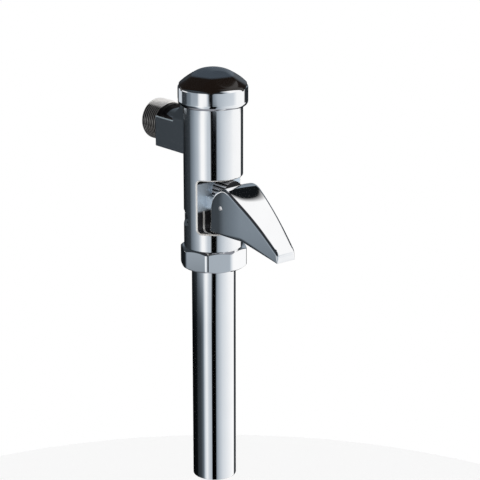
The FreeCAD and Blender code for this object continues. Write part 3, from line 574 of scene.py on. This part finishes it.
def rounded_polygon(angle, sides, apothem, corner):
    """Radius of a polygon with circular corners. On a flat it is the apothem over the cosine of
    the angle from the flat's middle; past the tangent it is the far crossing with the corner's
    circle."""
    step = 2 * np.pi / sides
    beside = np.abs((angle + step / 2) % step - step / 2)
    centre = (apothem - corner) / np.cos(step / 2)
    tangent = np.arctan((apothem - corner) * np.tan(step / 2) / apothem)
    off = step / 2 - beside
    arc = centre * np.cos(off) + np.sqrt(np.maximum(corner ** 2 - (centre * np.sin(off)) ** 2, 0))
    return np.where(beside < tangent, apothem / np.cos(beside), arc)


def union_nut():
    """Rows of height, whose radius is the softened minimum of the octagon and the edge cone: the
    cone's radius is the face's plus bevel times the depth below the nearer face."""
    angle = np.linspace(0, 2 * np.pi, NUT["steps"], endpoint=False)
    flat_middle = np.radians(NUT["turn"]) + np.pi / NUT["sides"]
    flats = rounded_polygon(angle - flat_middle, NUT["sides"], NUT["apothem"], NUT["corner"])
    tall = NUT["high"] - NUT["low"]
    depth_in = np.concatenate([np.linspace(0, NUT["bevel_deep"], 20), [tall / 2],
                               tall - np.linspace(NUT["bevel_deep"], 0, 20)])
    cone = NUT["face"] + np.minimum(depth_in, tall - depth_in)[:, None] * NUT["bevel"]
    soft = NUT["round_off"]
    gap = np.clip(0.5 + (cone - flats) / (2 * soft), 0, 1)
    radius = cone * (1 - gap) + flats * gap - soft * gap * (1 - gap)
    wall = round_axis(radius, angle, (NUT["low"] + depth_in)[:, None])
    below = [round_axis(NUT["eye"], angle, z) for z in (NUT["low"] + NUT["eye_deep"], NUT["low"])]
    top_heights = (NUT["high"], NUT["high"] - NUT["top_eye_deep"])
    above = [round_axis(NUT["top_eye"], angle, z) for z in top_heights]
    rows = np.array([*below, *wall, *above])
    return surface("union_nut_skin", rows, CHROME, "valve", ["union_nut"])


print("nut faces:", len(union_nut().data.polygons))

# %% [markdown]
# The body is one chromed casting: barrel, inlet arm and threaded inlet. Its shape stays as
# constructed, apart from the arm's two long upper edges, which polishing has rounded. A welded
# copy gets a new set of corner normals, because the construction mesh is made of narrow strips:
# on the barrel, neck and foot each corner of a face points straight away from the upright axis,
# as on a turned and polished cylinder, so the reflections run in clean stripes. The arm's flat
# sides keep the straight normals of their faces, and every other face keeps a plain angle rule.
# A face's place decides its finish: polished casting, recess, thread, window rim or eased edge.
# The last four carry painted light and shade.

# %% Valve body mesh
ARM = {"half": 15.0, "top": 6.8, "edge": 0.55, "found": 0.02}


def merged_copy(name):
    """A copy of a frame node's mesh with its doubled corners welded."""
    source = frame["nodes"][name]
    mesh = source.data.copy()
    mesh.transform(source.matrix_world)
    work = bmesh.new()
    work.from_mesh(mesh)
    weld(work)
    work.to_mesh(mesh)
    work.free()
    mesh.materials.clear()
    return mesh


def is_arm_edge(edge):
    """True for the long upper edges of the arm's two flat sides: both ends lie at the arm's half
    width and top height."""
    off = [abs(abs(corner.co.x) / MM - ARM["half"]) + abs(corner.co.z / MM - ARM["top"])
           for corner in edge.verts]
    return max(off) < ARM["found"]


def ease_arm_edges(mesh):
    """Rounds the arm's upper long edges, as polishing leaves them."""
    work = bmesh.new()
    work.from_mesh(mesh)
    long_edges = [edge for edge in work.edges if is_arm_edge(edge)]
    bmesh.ops.bevel(work, geom=long_edges, offset=ARM["edge"] * MM, segments=3, profile=0.5,
                    affect="EDGES")
    work.to_mesh(mesh)
    work.free()
    print("eased edges:", len(long_edges))
    return mesh


body_mesh = ease_arm_edges(merged_copy("valve_body"))
print("body faces:", len(body_mesh.polygons))

# %% [markdown]
# Blender hands out places, normals and owners of all corners in one call each. The arrays are
# compared as a whole with the radii of the turned walls and with the zones of each finish.

# %% Valve body
WALLS = {"radii": (18.7, 17.2, 16.4), "found": 0.02, "upright": 0.02, "agree": 0.985}
FLAT = {"square": 0.9995, "behind": 5.0}
THREAD_ZONE = {"radius": 13.3, "behind": 39.5}
RIM_ZONE = {"inner": 17.72, "outer": 18.66, "before": 2.0, "top": -25.5, "foot": -61.0}
EASED_ZONE = {"steep": 0.1, "level": 0.99, "near": 0.6, "behind": 10.0}
RECESS_ZONE = {"radius": 18.0, "before": 2.0, "top": -20.0}
BODY_FINISH = {"casting": CAST_CHROME, "recess": SATIN_CHROME_PAINTED_LIGHT, "thread": THREAD, "rim": RIM,
               "eased": EASED}


def read(items, attribute, width=1, kind=float):
    """One attribute of all items as an array, with a row of several numbers for each if it has them."""
    values = np.empty(len(items) * width, kind)
    items.foreach_get(attribute, values)
    return values.reshape(-1, width) if width > 1 else values


def body_normals(mesh):
    """Corner normals: place over radius on the turned walls, the face's own on square faces of
    the arm, and the angle rule's elsewhere. A wall's corner lies at one of its radii, on an
    upright face whose normal agrees with the radial one."""
    vertex = read(mesh.loops, "vertex_index", kind=int)
    places = read(mesh.vertices, "co", 3)[vertex] / MM - [0, AXIS_Y, 0]
    owner = np.repeat(np.arange(len(mesh.polygons)), read(mesh.polygons, "loop_total", kind=int))
    faces = read(mesh.polygons, "normal", 3)[owner]
    normals = read(mesh.corner_normals, "vector", 3)
    radius = np.hypot(places[:, 0], places[:, 1])
    radial = np.stack([places[:, 0] / radius, places[:, 1] / radius, 0 * radius], -1)
    on_wall = np.min([np.abs(radius - wall) for wall in WALLS["radii"]], axis=0) < WALLS["found"]
    upright = np.abs(faces[:, 2]) < WALLS["upright"]
    turned_wall = on_wall & upright & ((faces * radial).sum(axis=1) > WALLS["agree"])
    flat = (np.abs(faces).max(axis=1) > FLAT["square"]) & (places[:, 1] > FLAT["behind"])
    normals[turned_wall] = radial[turned_wall]
    normals[flat] = faces[flat]
    print("radial corners:", int(turned_wall.sum()), "of", len(radius))
    return normals


def body_slots(mesh):
    """The finish slot of each face, by the place of its middle and by its slope. The first zone
    that holds it wins, and the rest is polished casting."""
    x, y, z = (read(mesh.polygons, "center", 3) / MM - [0, AXIS_Y, 0]).T
    slope = np.abs(read(mesh.polygons, "normal", 3)[:, 2])
    out = np.hypot(x, y)
    thread = (np.hypot(x, z) < THREAD_ZONE["radius"]) & (y > THREAD_ZONE["behind"])
    rim = (out > RIM_ZONE["inner"]) & (out < RIM_ZONE["outer"]) & (y < RIM_ZONE["before"])
    rim &= (z < RIM_ZONE["top"]) & (z > RIM_ZONE["foot"])
    near = EASED_ZONE["near"]
    eased = (slope > EASED_ZONE["steep"]) & (slope < EASED_ZONE["level"]) & (y > EASED_ZONE["behind"])
    eased &= (np.abs(x) > ARM["half"] - near) & (np.abs(z - ARM["top"]) < near)
    recess = (out < RECESS_ZONE["radius"]) & (y < RECESS_ZONE["before"]) & (z < RECESS_ZONE["top"])
    zones = {"thread": thread, "rim": rim, "eased": eased, "recess": recess}
    order = list(BODY_FINISH)
    slots = [order.index(zone) for zone in zones]
    return np.select(list(zones.values()), slots, order.index("casting"))


def valve_body():
    """The welded copy with its finishes by zone and its radial normals."""
    piece = finish_piece("valve_body_skin", body_mesh, CAST_CHROME, "valve", ["valve_body"],
                         sharp_degrees=28.0)
    for zone in list(BODY_FINISH)[1:]:
        piece.data.materials.append(BODY_FINISH[zone])
    normals = body_normals(piece.data)
    piece.data.polygons.foreach_set("material_index", body_slots(piece.data))
    piece.data.normals_split_custom_set(normals.tolist())
    return piece


print("finishes of the body:", len(valve_body().data.materials))

# %% [markdown]
# The press lever is a hollow casting that has been ground, polished and plated, so its long
# edges are rounded and its top plate is slightly arched. It is built from sections: at each
# station one point of the upper outline is joined to one point of the sole, and a rounded,
# arched outline is drawn round that line. The width follows a plan that narrows to the tip.

# %% Lever outlines
LEVER = {"half": 12.8, "tip_half": 7.0, "slope_start": -30.0, "slope_soft": 10.0, "tip": -69.6,
         "edge": 1.9, "edge_share": 0.45, "foot": 0.4, "foot_share": 0.2, "sole_bend": 0.30}
ARCH = {"radius": 55.0, "full_height": 12.0, "ridge": -25.0, "ridge_width": 8.0, "ridge_flat": 0.7}
LEVER_TOP = [(-11.6, -58.0), (-11.6, -42.0), (-14.0, -34.4), (-20.0, -29.6), (-25.0, -28.24),
             (-30.0, -29.6), (-49.55, -42.7), (-67.4, -58.0), (-69.25, -60.2), (-69.6, -62.6),
             (-69.6, -66.5)]
LEVER_SOLE = [(-11.6, -58.0), (-40.9, -58.4), (-69.6, -66.5)]


def arc_through(first, middle, last, count):
    """Points on the circle through three points; the centre solves two linear equations."""
    first, middle, last = (np.array(point, float) for point in (first, middle, last))
    sides = np.array([middle - first, last - first])
    centre = first + np.linalg.solve(2 * sides, (sides ** 2).sum(axis=1))
    angles = [math.atan2(*(point - centre)[::-1]) for point in (first, middle, last)]
    angles = np.unwrap(angles)
    turn = np.linspace(angles[0], angles[2], count)
    radius = np.linalg.norm(first - centre)
    return centre + radius * np.stack([np.cos(turn), np.sin(turn)], -1)


def straight(first, last, count):
    """Evenly spaced points from one place to another."""
    part = np.linspace(0, 1, count)[:, None]
    return np.array(first) * (1 - part) + np.array(last) * part


def lever_upper_outline():
    """The upper outline as one chain: back edge, heel, ridge, slope, nose and front."""
    (back, heel, heel_bend, ridge_back, ridge_top, ridge_front,
     plate, nose_top, nose_bend, nose_front, front) = LEVER_TOP
    chain = [straight(back, heel, 14),
             arc_through(heel, heel_bend, ridge_back, 24)[1:],
             arc_through(ridge_back, ridge_top, ridge_front, 24)[1:],
             arc_through(ridge_front, plate, nose_top, 50)[1:],
             arc_through(nose_top, nose_bend, nose_front, 18)[1:],
             straight(nose_front, front, 8)[1:]]
    return np.concatenate(chain)


def lever_half(depth, inset=0.0):
    """Half the lever's width at a depth: parallel at the back, then narrowing evenly to the tip.
    The start of the taper is a parabola of the way past it, so no crease shows there."""
    past, soft = LEVER["slope_start"] - depth, LEVER["slope_soft"]
    past = np.where(past < soft, np.maximum(past + soft, 0) ** 2 / (4 * soft), past)
    part = np.clip(past / (LEVER["slope_start"] - LEVER["tip"] + 1), 0, 1)
    return LEVER["half"] + part * (LEVER["tip_half"] - LEVER["half"]) - inset


def lever_chords():
    """Each point of the upper outline and the point of the sole that it stands on. Both are taken
    at a share of the way along, and the sole's bend is reached at its own share."""
    upper = lever_upper_outline()
    share = np.concatenate([[0], np.cumsum(np.linalg.norm(np.diff(upper, axis=0), axis=1))])
    share /= share[-1]
    sole_share = np.interp(share, [0, LEVER["sole_bend"], 1], [0, 0.5, 1])
    sole = np.array(LEVER_SOLE, float)
    lower = np.stack([np.interp(sole_share, [0, 0.5, 1], sole[:, axis]) for axis in (0, 1)], -1)
    return upper, lower


print("stations of the lever:", len(lever_chords()[0]))

# %% [markdown]
# Each section goes round its chord: up one cheek with a small round at the foot and a wide one
# at the top edge, over the arched plate, down the other cheek and back along the sole. The
# plate's arch is a shallow parabola, and it is flatter at the ridge.

# %% Lever skin
def lever_skin():
    """Closed rings round the chords. The plate drops by its arch times the square of the share
    across: half width squared over twice the arch radius. Rounds follow sine and cosine."""
    upper, lower = lever_chords()
    chord = upper - lower
    length = np.linalg.norm(chord, axis=1)[:, None]
    way = chord / np.maximum(length, 1e-9)
    edge = np.minimum(LEVER["edge"], LEVER["edge_share"] * length)
    foot = np.minimum(LEVER["foot"], LEVER["foot_share"] * length)
    turn = np.radians(np.linspace(0, 90, 10))
    across = np.linspace(-1, 1, 41)[1:-1]
    cheek = np.linspace(0, 1, 12)[1:-1]
    drop = (lever_half(upper[:, :1]) - edge) ** 2 / (2 * ARCH["radius"])
    drop = drop * np.minimum(1, length / ARCH["full_height"])
    from_ridge = (upper[:, :1] - ARCH["ridge"]) / ARCH["ridge_width"]
    drop = drop * (1 - ARCH["ridge_flat"] * np.exp(-from_ridge ** 2))
    inset = [foot * (1 - np.sin(turn)), 0 * cheek + 0 * length, edge * (1 - np.cos(turn))]
    up = [foot * (1 - np.cos(turn)), foot + cheek * (length - drop - edge - foot),
          length - drop - edge + edge * np.sin(turn)]
    inset, up = np.concatenate(inset, axis=1), np.concatenate(up, axis=1)
    side = lever_half(lower[:, :1] + up * way[:, :1], inset)
    plate_up = length - drop * across ** 2
    plate = across * (lever_half(lower[:, :1] + plate_up * way[:, :1]) - edge)
    base = np.linspace(1, -1, 9)[1:-1] * (lever_half(lower[:, :1]) - foot)
    x = np.concatenate([-side, plate, side[:, ::-1], base], axis=1)
    up = np.concatenate([up, plate_up, up[:, ::-1], 0 * base], axis=1)
    points = np.stack([x, AXIS_Y + lower[:, :1] + up * way[:, :1], lower[:, 1:] + up * way[:, 1:]], -1)
    return points[1:-1]


print("rings of the lever:", len(lever_skin()))

# %% [markdown]
# The hollow, the slot for the rod and the pin's hole are taken away from the lever with plain
# cutters, because the foundry core and the drill leave plain shapes too. Each cutter is a closed
# solid from rings, and it goes once the lever is carved.

# %% Lever cutters
HOLLOW = {"wall": 2.0, "rear": -21.0, "rear_low": -36.4, "deep": -80.0, "margin": 0.1, "hair": 0.01}
ROD_SLOT = {"reach": 1.8, "low": -34.3, "high": -32.7, "front": -24.5, "back": -19.5}
PIN_HOLE = {"depth": -22.7, "height": -41.0, "radius": 1.55, "reach": 14.0}
CUTTER_STEPS = 32


def cutter(name, rows):
    """A closed solid from rings of equal length, kept only while it is needed."""
    rows = np.asarray(rows, float)
    count = rows.shape[1]
    faces = grid_faces(len(rows), count).tolist()
    faces += [list(range(count))[::-1], [(len(rows) - 1) * count + index for index in range(count)]]
    mesh = bpy.data.meshes.new(name)
    mesh.from_pydata((rows.reshape(-1, 3) * MM).tolist(), [], faces)
    made = bpy.data.objects.new(name, mesh)
    bpy.context.scene.collection.objects.link(made)
    return made


def hollow_cutter():
    """The core of the hollow: open behind and below, and one wall inside the upper outline, which
    is the outline moved by the wall along its normal, the tangent turned by a right angle."""
    wall, rear, rear_low, hair = HOLLOW["wall"], HOLLOW["rear"], HOLLOW["rear_low"], HOLLOW["hair"]
    upper = lever_upper_outline()
    tangent = np.gradient(upper, axis=0)
    tangent /= np.linalg.norm(tangent, axis=1)[:, None]
    inner = upper + wall * np.stack([-tangent[:, 1], tangent[:, 0]], -1)
    before = inner[:, 0] < rear - wall - HOLLOW["margin"]
    behind = inner[:, 0] > LEVER["tip"] + wall + HOLLOW["margin"]
    inner = inner[before & behind]
    start = [(0.0, 0.0), (rear, 0.0), (rear - hair, rear_low), (rear - wall + hair, rear_low),
             (rear - wall, np.interp(rear - wall, inner[::-1, 0], inner[::-1, 1]))]
    end = (LEVER["tip"] + wall, inner[-1, 1])
    tops = np.array([*start, *inner.tolist(), end])
    half = lever_half(tops[:, 0], wall)
    deep = np.full(len(tops), HOLLOW["deep"])
    corners = [(-half, tops[:, 1]), (half, tops[:, 1]), (half, deep), (-half, deep)]
    rows = np.stack([np.stack([x, AXIS_Y + tops[:, 0], z], -1) for x, z in corners], 1)
    return cutter("lever_core", rows)


def slot_cutter():
    """An upright slot through the rear wall, where the rod hangs: a circle cut in two, with one
    half moved up and one down."""
    turn = np.radians(np.linspace(0, 360, CUTTER_STEPS, endpoint=False))
    x = ROD_SLOT["reach"] * np.cos(turn)
    z = ROD_SLOT["reach"] * np.sin(turn) + np.where(np.sin(turn) > 0, ROD_SLOT["high"], ROD_SLOT["low"])
    ends = (ROD_SLOT["front"], ROD_SLOT["back"])
    return cutter("rod_slot", [np.stack([x, np.full_like(x, AXIS_Y + y), z], -1) for y in ends])


def pin_cutter():
    """The hole for the pin, through both cheeks."""
    turn = np.radians(np.linspace(0, 360, CUTTER_STEPS, endpoint=False))
    y = AXIS_Y + PIN_HOLE["depth"] + PIN_HOLE["radius"] * np.cos(turn)
    z = PIN_HOLE["height"] + PIN_HOLE["radius"] * np.sin(turn)
    ends = (-PIN_HOLE["reach"], PIN_HOLE["reach"])
    return cutter("pin_hole", [np.stack([np.full_like(y, x), y, z], -1) for x in ends])


def carve(mesh, tools):
    """The mesh with the tools taken away, read back from the evaluated object."""
    holder = bpy.data.objects.new("holder", mesh)
    bpy.context.scene.collection.objects.link(holder)
    for tool in tools:
        modifier = holder.modifiers.new(tool.name, "BOOLEAN")
        modifier.object = tool
        modifier.solver = "EXACT"
    seen = holder.evaluated_get(bpy.context.evaluated_depsgraph_get())
    carved = bpy.data.meshes.new_from_object(seen)
    for made in (holder, *tools):
        bpy.data.objects.remove(made)
    return carved


print("hollow from", HOLLOW["rear"] - HOLLOW["wall"], "to", LEVER["tip"] + HOLLOW["wall"], "mm")

# %% [markdown]
# The skin is closed at both ends and its faces are turned outwards before the cutters work on
# it, because a boolean cut has to know which side is metal.

# %% Press lever
def closed_mesh(name, rows):
    """A mesh from rings, closed at both ends, with its faces turned outwards."""
    count = rows.shape[1]
    faces = grid_faces(len(rows), count).tolist()
    faces += [list(range(count)), [(len(rows) - 1) * count + index for index in range(count)]]
    mesh = bpy.data.meshes.new(name)
    mesh.from_pydata((rows.reshape(-1, 3) * MM).tolist(), [], faces)
    work = bmesh.new()
    work.from_mesh(mesh)
    bmesh.ops.recalc_face_normals(work, faces=work.faces)
    work.to_mesh(mesh)
    work.free()
    return mesh


def press_lever():
    """The rounded skin with the hollow, the slot and the hole carved out."""
    skin = closed_mesh("lever_skin", lever_skin())
    mesh = carve(skin, [hollow_cutter(), slot_cutter(), pin_cutter()])
    return finish_piece("press_lever", mesh, CHROME, "lever", ["lever"], sharp_degrees=35.0)


print("lever faces:", len(press_lever().data.polygons))

# %% [markdown]
# The lever's pin is a short bright rod. Its ends are domed, as a drawn pin's ends are after
# tumbling, and each dome shows one small painted highlight in the dark cheek: the pin's pale
# colour is mostly matt, and the plain white lights it.

# %% Pivot pin
PIN = {"radius": 1.5, "half": 12.6, "dome": 0.7, "steps": 48, "dome_rows": 9}


def pivot_pin():
    """Rings along the pin. Near each end the radius falls with the sine of an angle and the
    length with its cosine, as on an ellipsoid's cap."""
    turn = np.linspace(0, 2 * np.pi, PIN["steps"], endpoint=False)
    part = np.sin(np.linspace(0, np.pi / 2, PIN["dome_rows"]))
    end_x = PIN["half"] - PIN["dome"] * (1 - np.cos(np.arcsin(part)))
    end_r = PIN["radius"] * part
    along = np.concatenate([-end_x, end_x[::-1]])[:, None]
    radius = np.concatenate([end_r, end_r[::-1]])[:, None]
    points = np.stack([along + 0 * turn, AXIS_Y + PIN_HOLE["depth"] + radius * np.cos(turn),
                       PIN_HOLE["height"] + radius * np.sin(turn)], -1)
    return surface("pivot_pin_skin", points, PIN_STEEL_PAINTED_HIGHLIGHT, "valve", ["pivot_pin"], sharp_degrees=40.0)


print("pin faces:", len(pivot_pin().data.polygons))

# %% [markdown]
# The cap ring is a turned chrome ring with a hexagonal seat sunk into its top, and the corners
# of the seat break through its rim. It is worked out in polar form round the upright axis: rows
# of radius and height over one set of turn angles, so the seat's outline is a line of the grid.

# %% Cap ring
CAP = {"radius": 21.89, "shelf": 29.4, "side": 29.85, "bulge": 8.75, "turn": 48.5, "steps": 360}
RING = {"eye": 18.8, "low": 18.5, "round": 3.0, "wall_low": 22.0, "top": 31.8, "crown": 2.2,
        "gap": 0.1, "bore": 14.5, "bore_low": 28.1, "corner_pair": 1e-5}


def bowed_radius(angle, side):
    """Distance from the axis to a six-sided outline whose sides are arcs of a wide circle: the
    arc's centre lies a bulge behind the axis, so the root of side squared less the bulge's sine
    squared, less the bulge's cosine."""
    beside = (angle - math.radians(CAP["turn"])) % (np.pi / 3) - np.pi / 6
    return np.sqrt(side ** 2 - (CAP["bulge"] * np.sin(beside)) ** 2) - CAP["bulge"] * np.cos(beside)


def cap_angles():
    """Turn angles with a pair of close neighbours at each place where the seat leaves the rim,
    which the rule of cosines gives from side, bulge and radius."""
    side, bulge, radius = CAP["side"] + RING["gap"], CAP["bulge"], CAP["radius"]
    notch = math.pi / 6 - math.acos((side ** 2 - bulge ** 2 - radius ** 2) / (2 * bulge * radius))
    corners = np.radians(CAP["turn"]) + np.arange(6) * np.pi / 3
    near = RING["corner_pair"]
    pairs = [corners + hand * notch + nudge for hand in (-1, 1) for nudge in (-near, near)]
    even = np.linspace(0, 2 * np.pi, CAP["steps"], endpoint=False)
    return np.unique(np.mod(np.concatenate([even, corners, *pairs]), 2 * np.pi))


def cap_ring():
    """Turned profile whose upper rows stop at the hexagonal seat, then drop to its shelf. The
    crown is a quarter circle: the root of crown squared less the way past its start squared."""
    angle = cap_angles()
    radius, crown, shelf = CAP["radius"], RING["crown"], CAP["shelf"]
    seat = bowed_radius(angle, CAP["side"] + RING["gap"])
    broken = seat >= radius
    inner = np.minimum(seat, radius)
    centre = (radius - RING["round"], RING["low"] + RING["round"])
    rows = [(RING["eye"], RING["low"])] + quarter(centre, (RING["round"],) * 2, -90, 0, 12)
    rows += [(radius, z) for z in np.linspace(RING["wall_low"], shelf, 10)]
    for part in np.linspace(0, 1, 14):
        r = radius - part * (radius - inner)
        past = np.maximum(r - (radius - crown), 0)
        lift = np.sqrt(np.maximum(crown ** 2 - past ** 2, 0))
        rows.append((r, np.where(broken, shelf, RING["top"] - crown + lift)))
    rows += [(inner, shelf), (RING["bore"], shelf), (RING["bore"], RING["bore_low"])]
    points = np.array([round_axis(r, angle, z) for r, z in rows])
    return surface("cap_ring_skin", points, CHROME, "valve", ["cap_ring"], sharp_degrees=40.0)


print("ring faces:", len(cap_ring().data.polygons))

# %% [markdown]
# The dark cover is a six-sided pyramid, trimmed to the ring and finished with a shallow dome. A
# moulded cover has no hard edge on top, so the facets and the dome run into each other softly.

# %% Cap cover
COVER = {"edge": 31.9, "slope": 33.5, "dome": 42.0, "dome_radius": 28.0, "facet_blend": 1.6,
         "dome_blend": 3.5, "side_gap": 0.02, "rim_gap": 0.06, "shelf_gap": 0.06, "foot": 14.0,
         "rows": 70}


def soft_max(values, sharpness):
    """Smooth maximum over the first axis: the logarithm of a sum of powers."""
    top = values.max(axis=0)
    return top + np.log(np.exp(sharpness * (values - top)).sum(axis=0)) / sharpness


def cap_cover():
    """Height over radius and angle: the lower of six facets and a dome, both blended softly. A
    facet falls by its slope's tangent along its own direction, and the dome is a sphere."""
    angle = np.linspace(0, 2 * np.pi, CAP["steps"], endpoint=False) + math.radians(CAP["turn"])
    outline = bowed_radius(angle, CAP["side"] - COVER["side_gap"])
    reach = np.minimum(outline, CAP["radius"] - COVER["rim_gap"])
    radius = np.linspace(0.0, 1.0, COVER["rows"])[:, None] * reach
    normals = np.radians(CAP["turn"] + 30) + np.arange(6) * np.pi / 3
    along = np.array([radius * np.cos(angle - normal) for normal in normals])
    fall = math.tan(math.radians(COVER["slope"]))
    facets = COVER["edge"] + fall * (CAP["radius"] - soft_max(along, COVER["facet_blend"]))
    dome = COVER["dome"] - COVER["dome_radius"] + np.sqrt(COVER["dome_radius"] ** 2 - radius ** 2)
    height = -soft_max(np.array([-facets, -dome]), COVER["dome_blend"])
    low = CAP["shelf"] + COVER["shelf_gap"]
    rows = [*round_axis(radius, angle, height), round_axis(radius[-1], angle, low),
            round_axis(COVER["foot"], angle, low)]
    return surface("cap_cover_skin", np.array(rows), BLACK, "valve", ["cap_cover"],
                   sharp_degrees=50.0)


print("cover faces:", len(cap_cover().data.polygons))

# %% [markdown]
# The picture stands on plain white. The floor is a pale matt disc far under the cut end of the
# pipe: it takes the valve's soft shadow, and it is left out of reflections so that the studio's
# belts stay as painted.

# %% Floor
FLOOR = {"height": -0.40, "radius": 0.45, "eye": 0.001, "rings": 4, "steps": 96}


def add_floor():
    """A flat disc of evenly spaced rings, hung on no body, so that it does not belong to the object."""
    angle = np.linspace(0, 2 * np.pi, FLOOR["steps"], endpoint=False)
    reach = np.maximum(np.linspace(0, FLOOR["radius"], FLOOR["rings"]), FLOOR["eye"])[:, None]
    height = np.full((FLOOR["rings"], FLOOR["steps"]), FLOOR["height"])
    points = np.stack([reach * np.cos(angle), AXIS_Y * MM + reach * np.sin(angle), height], axis=-1)
    mesh = bpy.data.meshes.new("floor")
    faces = grid_faces(FLOOR["rings"], FLOOR["steps"])
    mesh.from_pydata(points.reshape(-1, 3).tolist(), [], faces.tolist())
    floor = bpy.data.objects.new("floor", mesh)
    scene.collection.objects.link(floor)
    mesh.materials.append(material("pale_floor", (0.97, 0.97, 0.97), 0.0, 0.8, 0.02, 20.0, 0.0,
                                   second=(0.96, 0.96, 0.96)))
    floor.visible_glossy = False
    return floor


print("floor faces:", len(add_floor().data.polygons))
